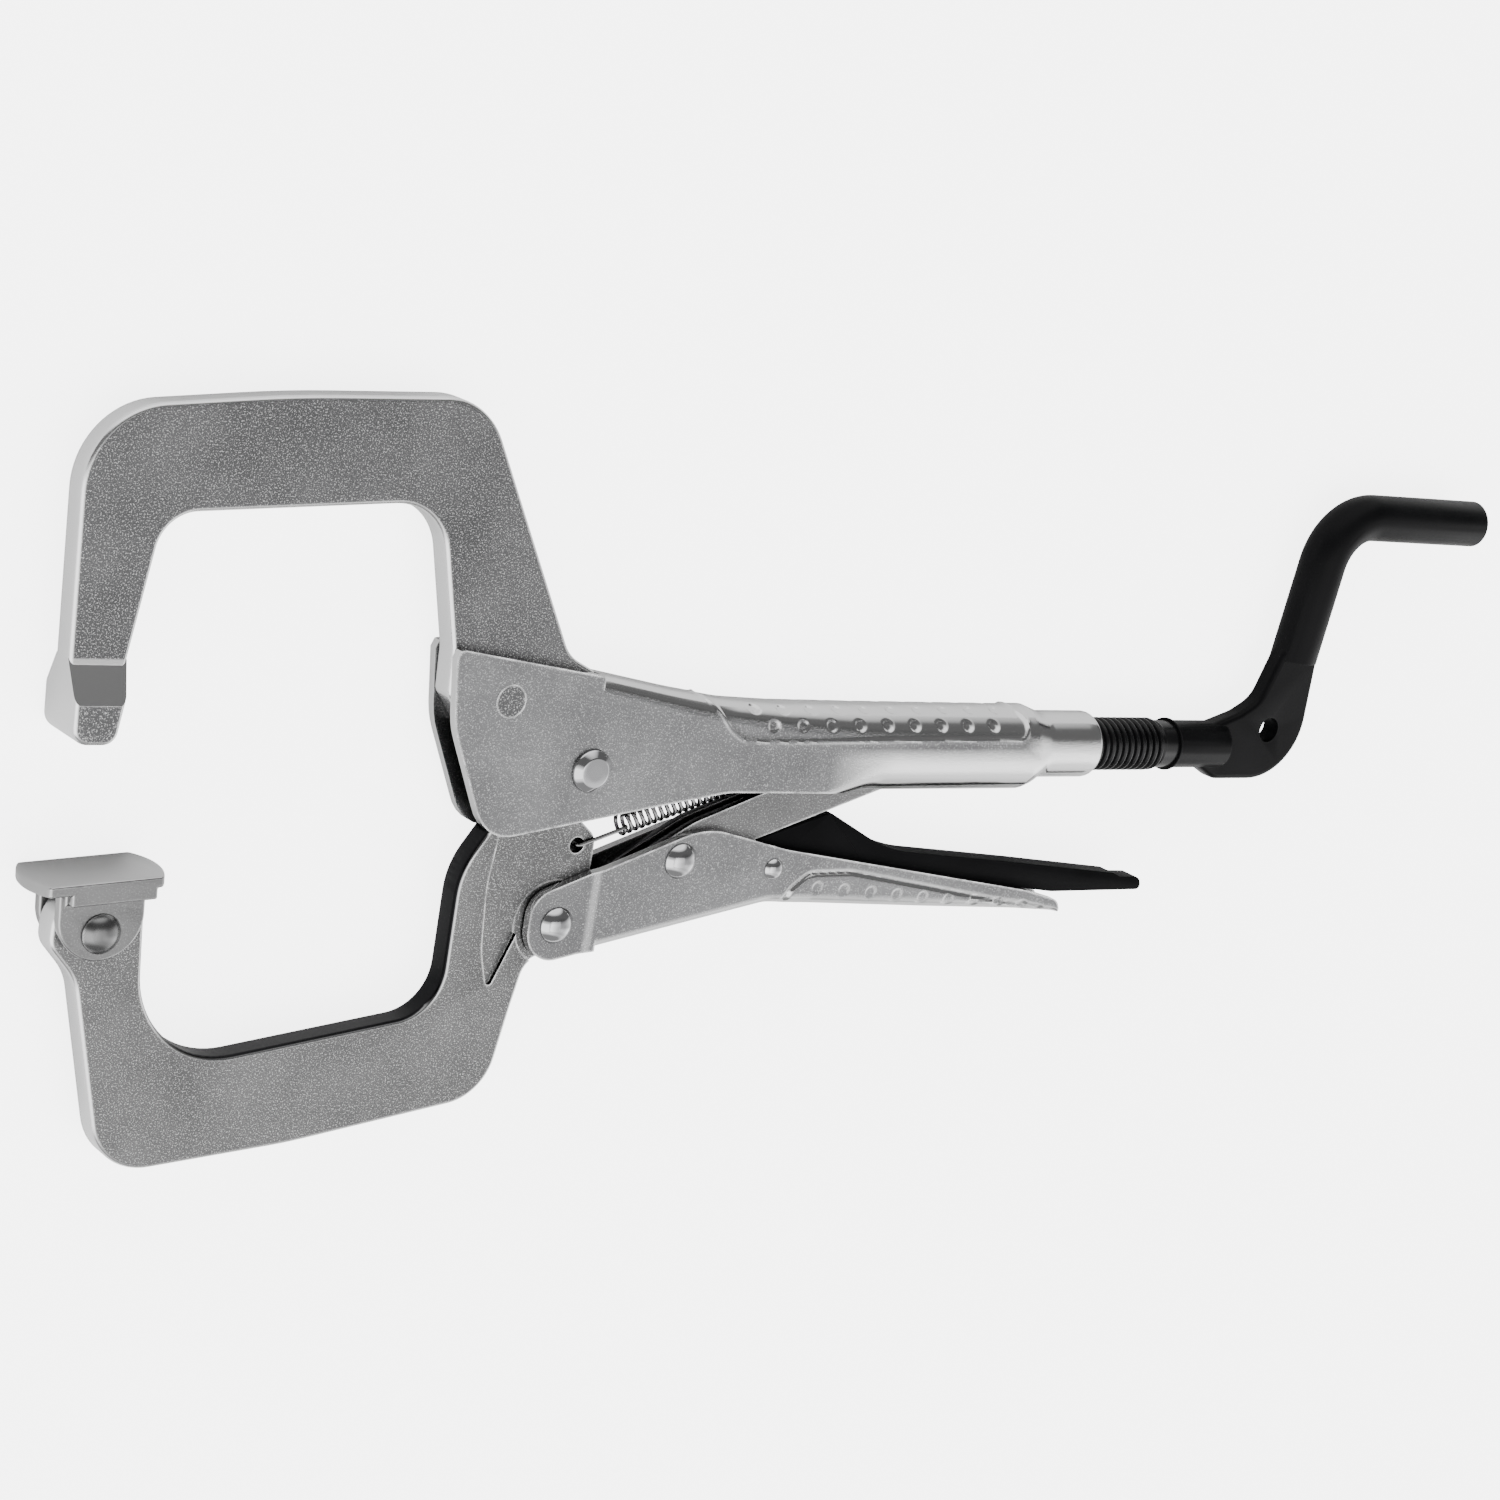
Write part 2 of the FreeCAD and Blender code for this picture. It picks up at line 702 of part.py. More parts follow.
parts = {
    "upper_handle": upper_handle(),
    "fixed_jaw": fixed_jaw(),
    "fixed_jaw_rivet": fixed_jaw_rivet(),
    "main_pivot_rivet": main_pivot_rivet(),
    "spring_anchor_pin": spring_anchor_pin(),
    "moving_jaw": moving_jaw(),
    "swivel_pad": swivel_pad(),
    "pad_rivet": pad_rivet(),
    "lower_handle": lower_handle(),
    "handle_pivot_rivet": domed_rivet(handle_pin, pin_r, head_r, head_t, ear_out),
    "toggle_rivet": domed_rivet(toggle_pin, pin_r, head_r, head_t, channel_out),
    "release_lever_rivet": domed_rivet(lever_pin, small_pin_r, small_head_r, small_head_t, channel_out),
    "toggle_link": toggle_link(),
    "release_lever": release_lever(),
    "thrust_button": thrust_button(),
    "adjusting_screw": adjusting_screw(),
    "tension_spring": tension_spring(),
}

whole = Part.makeCompound(list(parts.values())).BoundBox
shift = vec(-(whole.XMin + whole.XMax) / 2, -(whole.YMin + whole.YMax) / 2, -whole.ZMin)

os.makedirs("parts", exist_ok=True)
for name, shape in parts.items():
    shape.translate(shift)
    shape.exportStep("parts/" + name + ".step")
    print(name, "solids", len(shape.Solids), "valid", shape.isValid(), "volume", round(shape.Volume, 1))
print("size", round(whole.XLength, 2), round(whole.YLength, 2), round(whole.ZLength, 2))
print("shift", round(shift.x, 4), round(shift.y, 4), round(shift.z, 4))
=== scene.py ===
import math
import bmesh
import bpy
import numpy as np
from mathutils import Matrix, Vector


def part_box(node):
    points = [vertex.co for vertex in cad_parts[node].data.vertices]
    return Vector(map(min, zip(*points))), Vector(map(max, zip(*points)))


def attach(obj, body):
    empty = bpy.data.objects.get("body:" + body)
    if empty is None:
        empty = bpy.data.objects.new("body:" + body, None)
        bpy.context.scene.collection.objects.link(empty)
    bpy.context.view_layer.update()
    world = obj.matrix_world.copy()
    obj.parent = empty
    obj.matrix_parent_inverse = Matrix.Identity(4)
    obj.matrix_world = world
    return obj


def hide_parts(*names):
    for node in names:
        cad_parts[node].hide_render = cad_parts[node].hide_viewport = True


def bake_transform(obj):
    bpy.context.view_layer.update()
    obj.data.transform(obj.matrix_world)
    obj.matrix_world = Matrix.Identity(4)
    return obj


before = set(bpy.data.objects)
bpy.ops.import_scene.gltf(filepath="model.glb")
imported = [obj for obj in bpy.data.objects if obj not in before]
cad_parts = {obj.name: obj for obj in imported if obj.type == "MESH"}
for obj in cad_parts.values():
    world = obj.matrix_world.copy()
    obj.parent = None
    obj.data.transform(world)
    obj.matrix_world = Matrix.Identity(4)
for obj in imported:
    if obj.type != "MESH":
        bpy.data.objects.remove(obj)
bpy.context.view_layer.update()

# Shapes below are worked out in millimetres: X along the screw towards the crank with 0 at the main pivot,
# Y across the tool with 0 on the screw axis, Z through the thickness with 0 at the mid-plane.
millimetre = 0.001
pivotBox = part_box("main_pivot_rivet")
pivotBelowScrew = 4.5
origin = np.array(pivotBox[0] + pivotBox[1]) / 2 + np.array([0.0, pivotBelowScrew * millimetre, 0.0])


def place(points):
    # millimetres about the pivot to metres in the row frame
    return np.asarray(points, float) * millimetre + origin


def smooth(t):
    # 0 to 1 with level ends: 3t^2 - 2t^3 on t held between 0 and 1
    t = np.clip(t, 0.0, 1.0)
    return t * t * (3 - 2 * t)


def roundedPath(corners, step=0.4):
    # open path through (x, y, radius) corners, each turned by an arc tangent to both runs, a point every step
    points = [np.array(corners[0][:2], float)]
    for before, here, after in zip(corners[:-2], corners[1:-1], corners[2:]):
        at = np.array(here[:2], float)
        a = np.array(before[:2], float) - at
        b = np.array(after[:2], float) - at
        a /= np.linalg.norm(a)
        b /= np.linalg.norm(b)
        half = math.acos(np.clip(a @ b, -1.0, 1.0)) / 2
        along = here[2] / math.tan(half)
        middle = (a + b) / np.linalg.norm(a + b)
        centre = at + middle * here[2] / math.sin(half)
        start, end = at + a * along, at + b * along
        turn = np.linspace(0.0, 1.0, max(3, int(here[2] * (math.pi - 2 * half) / step)))[:, None]
        arc = start * (1 - turn) + end * turn - centre
        arc *= here[2] / np.linalg.norm(arc, axis=1, keepdims=True)
        points.extend(centre + arc)
    points.append(np.array(corners[-1][:2], float))
    return np.array(points)


def spread(path, count, start=0.0, end=1.0):
    # count points evenly along a path, between two shares of its length
    run = np.concatenate([[0.0], np.cumsum(np.linalg.norm(np.diff(path, axis=0), axis=1))])
    at = np.linspace(start, end, count) * run[-1]
    return np.stack([np.interp(at, run, path[:, k]) for k in range(path.shape[1])], axis=1)


def gridFaces(rows, columns, wrap=False):
    # quads between neighbours of a rows x columns grid, joined round the columns if wrap
    i = np.arange(rows - 1)[:, None]
    j = np.arange(columns if wrap else columns - 1)[None, :]
    k = (j + 1) % columns
    return np.stack(np.broadcast_arrays(i * columns + j, i * columns + k,
                                        (i + 1) * columns + k, (i + 1) * columns + j), axis=-1)


def makePiece(name, vertices, faces, ends=None):
    # mesh object at the origin, doubles merged and normals pointing outwards; rims past each end are bridged
    # and the holes left are filled
    mesh = bpy.data.meshes.new(name)
    mesh.from_pydata(place(vertices).tolist(), [], [list(f) for f in faces])
    shape = bmesh.new()
    shape.from_mesh(mesh)
    bmesh.ops.remove_doubles(shape, verts=shape.verts, dist=1e-6)
    bmesh.ops.dissolve_degenerate(shape, edges=shape.edges, dist=1e-6)
    for end in ends or ():
        past = place((end, 0, 0))[0]
        rim = [e for e in shape.edges if e.is_boundary and min(v.co.x for v in e.verts) > past]
        bmesh.ops.bridge_loops(shape, edges=rim)
    if ends is not None:
        bmesh.ops.holes_fill(shape, edges=[e for e in shape.edges if e.is_boundary], sides=0)
    bmesh.ops.recalc_face_normals(shape, faces=shape.faces)
    for face in shape.faces:
        face.smooth = True
    shape.to_mesh(mesh)
    shape.free()
    piece = bpy.data.objects.new(name, mesh)
    bpy.context.scene.collection.objects.link(piece)
    return piece


def copyNode(name, node, cutAt=None):
    # merged copy of a CAD node, for pieces that only need their edges finished
    # cutAt drops what lies before it
    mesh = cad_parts[node].data.copy()
    shape = bmesh.new()
    shape.from_mesh(mesh)
    bmesh.ops.remove_doubles(shape, verts=shape.verts, dist=1e-6)
    if cutAt is not None:
        everything = list(shape.verts) + list(shape.edges) + list(shape.faces)
        bmesh.ops.bisect_plane(shape, geom=everything, plane_co=place((cutAt, 0, 0)), plane_no=(1, 0, 0),
                               clear_inner=True)
        bmesh.ops.holes_fill(shape, edges=[e for e in shape.edges if e.is_boundary], sides=0)
    bmesh.ops.dissolve_limit(shape, angle_limit=math.radians(0.5), verts=shape.verts, edges=shape.edges)
    for face in shape.faces:
        face.smooth = True
    shape.to_mesh(mesh)
    shape.free()
    mesh.materials.clear()
    piece = bpy.data.objects.new(name, mesh)
    bpy.context.scene.collection.objects.link(piece)
    return piece


def roundEdges(piece, width, segments=3, angle=35):
    # soft edges where faces meet at more than the angle
    bevel = piece.modifiers.new("softEdges", "BEVEL")
    bevel.width = width * millimetre
    bevel.segments = segments
    bevel.limit_method = "ANGLE"
    bevel.angle_limit = math.radians(angle)
    bevel.harden_normals = True
    bevel.use_clamp_overlap = True


def joinCad(piece, body, nodes, material):
    # the piece takes its material, moves with its body and stands in for its CAD nodes
    piece.data.materials.clear()
    piece.data.materials.append(material)
    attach(piece, body)
    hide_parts(*nodes)


def sweep(centres, across, through, halfWide, halfThick, power, around=40):
    # closed superellipse rings carried along a path; across and through are the ring's two directions
    turn = np.linspace(0.0, 2 * math.pi, around, endpoint=False)[None, :]
    p = 2.0 / np.asarray(power, float)[:, None]
    c = np.sign(np.cos(turn)) * np.abs(np.cos(turn)) ** p
    s = np.sign(np.sin(turn)) * np.abs(np.sin(turn)) ** p
    wide = np.asarray(halfWide, float)[:, None] * c
    thick = np.asarray(halfThick, float)[:, None] * s
    return centres[:, None, :] + wide[..., None] * across[:, None, :] + thick[..., None] * through[:, None, :]


def capped(rings):
    # rings as a closed mesh: the two end rings are shut by a fan to their middle
    rows, columns = rings.shape[:2]
    faces = gridFaces(rows, columns, wrap=True).reshape(-1, 4).tolist()
    vertices = np.concatenate([rings.reshape(-1, 3), rings[:1].mean(axis=1), rings[-1:].mean(axis=1)])
    j = np.arange(columns)
    k = (j + 1) % columns
    lastRow = (rows - 1) * columns
    first = np.stack([np.full(columns, rows * columns), k, j], axis=1)
    last = np.stack([np.full(columns, rows * columns + 1), lastRow + j, lastRow + k], axis=1)
    return vertices, faces + first.tolist() + last.tolist()


def distanceToPath(x, y, path):
    # shortest distance from each grid point to a path, one run of the path at a time
    best = np.full(x.shape, 1e9)
    for (ax, ay), (bx, by) in zip(path[:-1], path[1:]):
        dx, dy = bx - ax, by - ay
        t = np.clip(((x - ax) * dx + (y - ay) * dy) / (dx * dx + dy * dy), 0, 1)
        best = np.minimum(best, np.hypot(x - ax - t * dx, y - ay - t * dy))
    return best


def insidePath(x, y, path):
    # True where a point lies inside the closed path: its rays to the right cross it an odd number of times
    inside = np.zeros(x.shape, bool)
    for (ax, ay), (bx, by) in zip(path, np.roll(path, -1, axis=0)):
        if ay == by:
            continue
        crosses = (ay > y) != (by > y)
        inside ^= crosses & (x < ax + (y - ay) * (bx - ax) / (by - ay))
    return inside


def socketGroup(name, inputs, outputs):
    # empty node group with named sockets, and its input and output nodes
    group = bpy.data.node_groups.new(name, "ShaderNodeTree")
    for label, kind, value in inputs:
        made = group.interface.new_socket(name=label, in_out="INPUT", socket_type=kind)
        made.default_value = value
    for label, kind in outputs:
        group.interface.new_socket(name=label, in_out="OUTPUT", socket_type=kind)
    return group, group.nodes.new("NodeGroupInput"), group.nodes.new("NodeGroupOutput")


def link(tree, output, target):
    tree.links.new(output, target)


def mathNode(tree, operation, first, second=None, clamp=False):
    node = tree.nodes.new("ShaderNodeMath")
    node.operation = operation
    node.use_clamp = clamp
    for socket, value in zip(node.inputs, (first, second)):
        if value is None:
            continue
        if isinstance(value, (int, float)):
            socket.default_value = value
        else:
            link(tree, value, socket)
    return node.outputs[0]


def noiseNode(tree, vector, scale, detail=3.0, roughness=0.6):
    node = tree.nodes.new("ShaderNodeTexNoise")
    node.inputs["Detail"].default_value = detail
    node.inputs["Roughness"].default_value = roughness
    link(tree, vector, node.inputs["Vector"])
    if isinstance(scale, (int, float)):
        node.inputs["Scale"].default_value = scale
    else:
        link(tree, scale, node.inputs["Scale"])
    return node.outputs["Fac"]


def rangeNode(tree, value, low, high, toLow=0.0, toHigh=1.0):
    node = tree.nodes.new("ShaderNodeMapRange")
    link(tree, value, node.inputs["Value"])
    for label, amount in (("From Min", low), ("From Max", high), ("To Min", toLow), ("To Max", toHigh)):
        node.inputs[label].default_value = amount
    return node.outputs["Result"]


def mixColour(tree, amount, first, second):
    node = tree.nodes.new("ShaderNodeMix")
    node.data_type = "RGBA"
    link(tree, amount, node.inputs[0])
    for socket, value in ((node.inputs[6], first), (node.inputs[7], second)):
        if isinstance(value, tuple):
            socket.default_value = (*value, 1.0)
        else:
            link(tree, value, socket)
    return node.outputs[2]


def mixValue(tree, amount, first, second):
    node = tree.nodes.new("ShaderNodeMix")
    link(tree, amount, node.inputs[0])
    for socket, value in ((node.inputs[2], first), (node.inputs[3], second)):
        if isinstance(value, (int, float)):
            socket.default_value = value
        else:
            link(tree, value, socket)
    return node.outputs[0]


def makeGrainGroup():
    # blasted grain: fine pits as a height, bright specks as a mask, and slow cloudiness
    tree, inside, outside = socketGroup(
        "blastedGrain",
        [("Grain Size", "NodeSocketFloat", 1800.0), ("Speck Share", "NodeSocketFloat", 0.62)],
        [("Height", "NodeSocketFloat"), ("Specks", "NodeSocketFloat"), ("Clouds", "NodeSocketFloat")])
    where = tree.nodes.new("ShaderNodeTexCoord").outputs["Object"]
    fine = noiseNode(tree, where, inside.outputs["Grain Size"], 2.0, 0.7)
    coarse = noiseNode(tree, where, mathNode(tree, "MULTIPLY", inside.outputs["Grain Size"], 0.4), 2.0)
    height = mathNode(tree, "ADD", mathNode(tree, "MULTIPLY", fine, 0.6),
                      mathNode(tree, "MULTIPLY", coarse, 0.4))
    over = mathNode(tree, "SUBTRACT", fine, inside.outputs["Speck Share"])
    specks = mathNode(tree, "MULTIPLY", over, 12.0, clamp=True)
    clouds = noiseNode(tree, where, 45.0, 3.0)
    link(tree, height, outside.inputs["Height"])
    link(tree, specks, outside.inputs["Specks"])
    link(tree, clouds, outside.inputs["Clouds"])
    return tree


def makeFacingGroup():
    # how far a face looks out of a flat side, towards the fixed jaw, and towards the tips of the jaws
    tree, inside, outside = socketGroup(
        "facing",
        [("Side Start", "NodeSocketFloat", 0.88), ("Side End", "NodeSocketFloat", 0.985)],
        [("Flat Side", "NodeSocketFloat"), ("Towards Jaw", "NodeSocketFloat"),
         ("Towards Tip", "NodeSocketFloat")])
    normal = tree.nodes.new("ShaderNodeNewGeometry").outputs["Normal"]
    parts = tree.nodes.new("ShaderNodeSeparateXYZ")
    link(tree, normal, parts.inputs[0])
    upward = mathNode(tree, "ABSOLUTE", parts.outputs["Z"])
    span = mathNode(tree, "SUBTRACT", inside.outputs["Side End"], inside.outputs["Side Start"])
    above = mathNode(tree, "SUBTRACT", upward, inside.outputs["Side Start"])
    flat = mathNode(tree, "DIVIDE", above, span, clamp=True)
    towards = rangeNode(tree, parts.outputs["Y"], 0.35, 0.7)
    tipward = rangeNode(tree, parts.outputs["X"], -0.35, -0.7)
    link(tree, flat, outside.inputs["Flat Side"])
    link(tree, towards, outside.inputs["Towards Jaw"])
    link(tree, tipward, outside.inputs["Towards Tip"])
    return tree


def makeWearGroup():
    # rubbed edges: where the wide-rounded normal leaves the true one, broken up by noise
    tree, inside, outside = socketGroup(
        "edgeWear", [("Width", "NodeSocketFloat", 0.0006)], [("Mask", "NodeSocketFloat")])
    wide = tree.nodes.new("ShaderNodeBevel")
    wide.samples = 4
    link(tree, inside.outputs["Width"], wide.inputs["Radius"])
    true = tree.nodes.new("ShaderNodeNewGeometry").outputs["Normal"]
    dot = tree.nodes.new("ShaderNodeVectorMath")
    dot.operation = "DOT_PRODUCT"
    link(tree, wide.outputs[0], dot.inputs[0])
    link(tree, true, dot.inputs[1])
    edge = rangeNode(tree, dot.outputs["Value"], 0.985, 0.86)
    where = tree.nodes.new("ShaderNodeTexCoord").outputs["Object"]
    broken = rangeNode(tree, noiseNode(tree, where, 260.0), 0.35, 0.6, 0.35, 1.0)
    link(tree, mathNode(tree, "MULTIPLY", edge, broken, clamp=True), outside.inputs["Mask"])
    return tree


grainGroup = makeGrainGroup()
facingGroup = makeFacingGroup()
wearGroup = makeWearGroup()


def groupNode(tree, group, **values):
    # a group placed in a material; an underscore in a value's name stands for the socket's space
    node = tree.nodes.new("ShaderNodeGroup")
    node.node_tree = group
    for label, value in values.items():
        node.inputs[label.replace("_", " ")].default_value = value
    return node


def placeRange(tree, axis, start, end):
    # 0 to 1 between two places along X or Y, in millimetres about the pivot
    parts = tree.nodes.new("ShaderNodeSeparateXYZ")
    link(tree, tree.nodes.new("ShaderNodeTexCoord").outputs["Object"], parts.inputs[0])
    ends = [float(place((at, at, 0))["XY".index(axis)]) for at in (start, end)]
    return rangeNode(tree, parts.outputs[axis], *ends)


def metalMaterial(name, look):
    # blasted flat sides, smoother polished edges, bright specks and rubbed corners
    material = bpy.data.materials.new(name)
    material.use_nodes = True
    tree = material.node_tree
    shader = tree.nodes["Principled BSDF"]
    shader.inputs["Metallic"].default_value = 1.0
    grain = groupNode(tree, grainGroup, Grain_Size=look["grain"], Speck_Share=look["speckShare"])
    facing = groupNode(tree, facingGroup)
    wear = groupNode(tree, wearGroup, Width=look["wear"])
    flat = facing.outputs["Flat Side"]
    shaded = mixColour(tree, rangeNode(tree, grain.outputs["Clouds"], 0.3, 0.7), look["dark"], look["light"])
    speckled = mixColour(tree, mathNode(tree, "MULTIPLY", grain.outputs["Specks"], look["sparkle"]),
                         shaded, look["speck"])
    flatRough = look["rough"]
    if "polishHighlight" in look:
        # a polished area between two places each way, which on the barrel is a painted highlight band, and a
        # polished collar past another
        beyond = placeRange(tree, "X", look["polishFrom"], look["polishTo"])
        below = placeRange(tree, "Y", look["polishTop"], look["polishLow"])
        above = placeRange(tree, "Y", look["polishEnd"] - 0.2, look["polishEnd"] + 0.2)
        collar = placeRange(tree, "X", look["collarFrom"], look["collarTo"])
        area = mathNode(tree, "MULTIPLY", mathNode(tree, "MULTIPLY", beyond, below), above)
        polishHighlightMask = mathNode(tree, "MAXIMUM", area, collar)
        speckled = mixColour(tree, polishHighlightMask, speckled, look["polishHighlight"])
        flatRough = mixValue(tree, polishHighlightMask, look["rough"], look["polishRough"])
    sided = mixColour(tree, flat, look["edge"], speckled)
    rubbed = mathNode(tree, "MULTIPLY", wear.outputs["Mask"], look["wornShare"])
    wornAndGlint = mixColour(tree, rubbed, sided, look["wornAndGlint"])
    if "paintedShade" in look:
        # painted shade on inner edges: faces that look towards the fixed jaw, and those inside the throat, are
        # darkened towards the shadow colour
        inShade = facing.outputs["Towards Jaw"]
        if "innerFrom" in look:
            within = placeRange(tree, "X", look["innerFrom"], look["innerFrom"] + 15)
            inShade = mathNode(tree, "MAXIMUM", inShade,
                               mathNode(tree, "MULTIPLY", within, facing.outputs["Towards Tip"]))
        wornAndGlint = mixColour(tree, mathNode(tree, "MULTIPLY", inShade, look["paintedShade"]), wornAndGlint, look["shadow"])
    link(tree, wornAndGlint, shader.inputs["Base Color"])
    sideRough = mixValue(tree, flat, look["edgeRough"], flatRough)
    rough = mixValue(tree, mathNode(tree, "MULTIPLY", wear.outputs["Mask"], 0.7), sideRough,
                     look["wornRough"])
    link(tree, rough, shader.inputs["Roughness"])
    bump = tree.nodes.new("ShaderNodeBump")
    bump.inputs["Distance"].default_value = look["bump"]
    link(tree, mathNode(tree, "MULTIPLY", flat, 0.9), bump.inputs["Strength"])
    link(tree, grain.outputs["Height"], bump.inputs["Height"])
    link(tree, bump.outputs[0], shader.inputs["Normal"])
    return material


def oxideMaterial(name, look):
    # near-black oxide: a thin gloss over fine grain, greyer where edges are rubbed; on the thread this grey
    # also paints highlights on the crests
    material = bpy.data.materials.new(name)
    material.use_nodes = True
    tree = material.node_tree
    shader = tree.nodes["Principled BSDF"]
    shader.inputs["Metallic"].default_value = look["metal"]
    shader.inputs["Specular IOR Level"].default_value = look["gloss"]
    grain = groupNode(tree, grainGroup, Grain_Size=look["grain"], Speck_Share=0.6)
    wear = groupNode(tree, wearGroup, Width=look["wear"])
    clouded = mixColour(tree, rangeNode(tree, grain.outputs["Clouds"], 0.3, 0.7), look["dark"], look["light"])
    rubbed = mathNode(tree, "MULTIPLY", wear.outputs["Mask"], look["wornShare"])
    wornAndGlint = mixColour(tree, rubbed, clouded, look["wornAndGlint"])
    link(tree, wornAndGlint, shader.inputs["Base Color"])
    link(tree, rangeNode(tree, grain.outputs["Clouds"], 0.3, 0.7, look["rough"] - 0.05, look["rough"] + 0.07),
         shader.inputs["Roughness"])
    bump = tree.nodes.new("ShaderNodeBump")
    bump.inputs["Distance"].default_value = look["bump"]
    bump.inputs["Strength"].default_value = 0.6
    link(tree, grain.outputs["Height"], bump.inputs["Height"])
    link(tree, bump.outputs[0], shader.inputs["Normal"])
    return material


# finishes: grain is the scale of the pits, dark and light the ends of the flat sides' cloudiness,
# edge the colour of the polished edges, the rubbed colour is wear on corners and, on the thread, also a
# painted highlight on the crests
forgingLook = dict(grain=3300.0, speckShare=0.56, sparkle=0.6, wear=0.0009, wornShare=0.85, bump=0.00016,
                   rough=0.36, edgeRough=0.2, wornRough=0.16,
                   dark=(0.06, 0.06, 0.061), light=(0.09, 0.09, 0.091), speck=(0.65, 0.65, 0.65),
                   edge=(0.82, 0.82, 0.82), wornAndGlint=(0.92, 0.92, 0.92))
tipLook = dict(forgingLook, polishHighlight=(0.34, 0.34, 0.34), polishRough=0.34, polishFrom=-90.0, polishTo=-92.0,
               polishTop=17.3, polishLow=16.9, polishEnd=9.0, collarFrom=400.0, collarTo=401.0)  # no collar
# painted shade on the moving jaw: faces towards the fixed jaw and inside the throat take the dark shadow
# colour
castLook = dict(forgingLook, dark=(0.08, 0.08, 0.08), light=(0.12, 0.12, 0.12), paintedShade=1.0,
                innerFrom=-70.0, shadow=(0.012, 0.012, 0.013))
sheetLook = dict(forgingLook, grain=3000.0, rough=0.3, edgeRough=0.15, sparkle=0.35,
                 dark=(0.10, 0.10, 0.102), light=(0.155, 0.156, 0.158), edge=(0.7, 0.7, 0.7))
# painted highlight: the barrel's polished area is a bright band on its lower side, rising in from X 62 to 80;
# the collar past 117 is polished
barrelLook = dict(sheetLook, polishHighlight=(0.72, 0.72, 0.72), polishRough=0.2, polishFrom=62.0,
                  polishTo=80.0, polishTop=1.2, polishLow=-1.8, polishEnd=-40.0,
                  collarFrom=117.0, collarTo=123.0)
# painted shade on the toggle link: faces towards the fixed jaw take the dark shadow colour
linkLook = dict(sheetLook, paintedShade=0.9, shadow=(0.03, 0.03, 0.032), dark=(0.09, 0.09, 0.09),
                light=(0.13, 0.13, 0.13))
padLook = dict(forgingLook, grain=3000.0, sparkle=0.12, rough=0.34, edgeRough=0.22, wear=0.0007,
               dark=(0.12, 0.12, 0.12), light=(0.15, 0.15, 0.15), edge=(0.4, 0.4, 0.4),
               wornAndGlint=(0.85, 0.85, 0.85))
rivetLook = dict(forgingLook, grain=900.0, sparkle=0.0, rough=0.16, edgeRough=0.1, bump=0.00001,
                 dark=(0.2, 0.2, 0.205), light=(0.25, 0.25, 0.255), edge=(0.6, 0.6, 0.61))
padRivetLook = dict(rivetLook, rough=0.3, edgeRough=0.26, dark=(0.1, 0.1, 0.1), light=(0.13, 0.13, 0.13),
                    edge=(0.2, 0.2, 0.2))
wireLook = dict(rivetLook, rough=0.16, edgeRough=0.16, edge=(0.16, 0.16, 0.16), wornAndGlint=(0.3, 0.3, 0.3))
buttonLook = dict(forgingLook, sparkle=0.1, rough=0.4)
oxideLook = dict(grain=1900.0, metal=0.0, gloss=0.06, rough=0.34, wear=0.0006, wornShare=0.3, bump=0.00004,
                 dark=(0.003, 0.003, 0.0033), light=(0.006, 0.006, 0.0065), wornAndGlint=(0.05, 0.05, 0.052))
# the thread's rubbed colour is raised to paint highlights on the crests as well as wear
threadLook = dict(oxideLook, rough=0.24, gloss=0.25, wear=0.0004, wornShare=0.6, wornAndGlint=(0.12, 0.12, 0.12))
leverLook = dict(oxideLook, rough=0.44, gloss=0.02)

forging = metalMaterial("platedForging", forgingLook)
tipForging = metalMaterial("platedForgingTip", tipLook)
# this material paints shade on the moving jaw's inner edges
forgingPaintedShade = metalMaterial("platedForgingLower", castLook)
sheetMetal = metalMaterial("platedSheet", sheetLook)
barrelMetal = metalMaterial("platedBarrel", barrelLook)
linkMetal = metalMaterial("platedLink", linkLook)
padMetal = metalMaterial("padSteel", padLook)
rivetMetal = metalMaterial("rivetBright", rivetLook)
padRivetMetal = metalMaterial("padRivet", padRivetLook)
wireMetal = metalMaterial("springWire", wireLook)
buttonMetal = metalMaterial("buttonSteel", buttonLook)
blackOxide = oxideMaterial("blackOxide", oxideLook)
threadOxide = oxideMaterial("threadOxide", threadLook)
leverOxide = oxideMaterial("leverOxide", leverLook)
print("materials made")

# nodes that keep their CAD mesh
for nodeName, material in {"fixed_jaw": tipForging, "fixed_jaw_rivet": forging,
                           "spring_anchor_pin": buttonMetal, "thrust_button": buttonMetal}.items():
    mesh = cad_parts[nodeName].data
    mesh.materials.clear()
    mesh.materials.append(material)

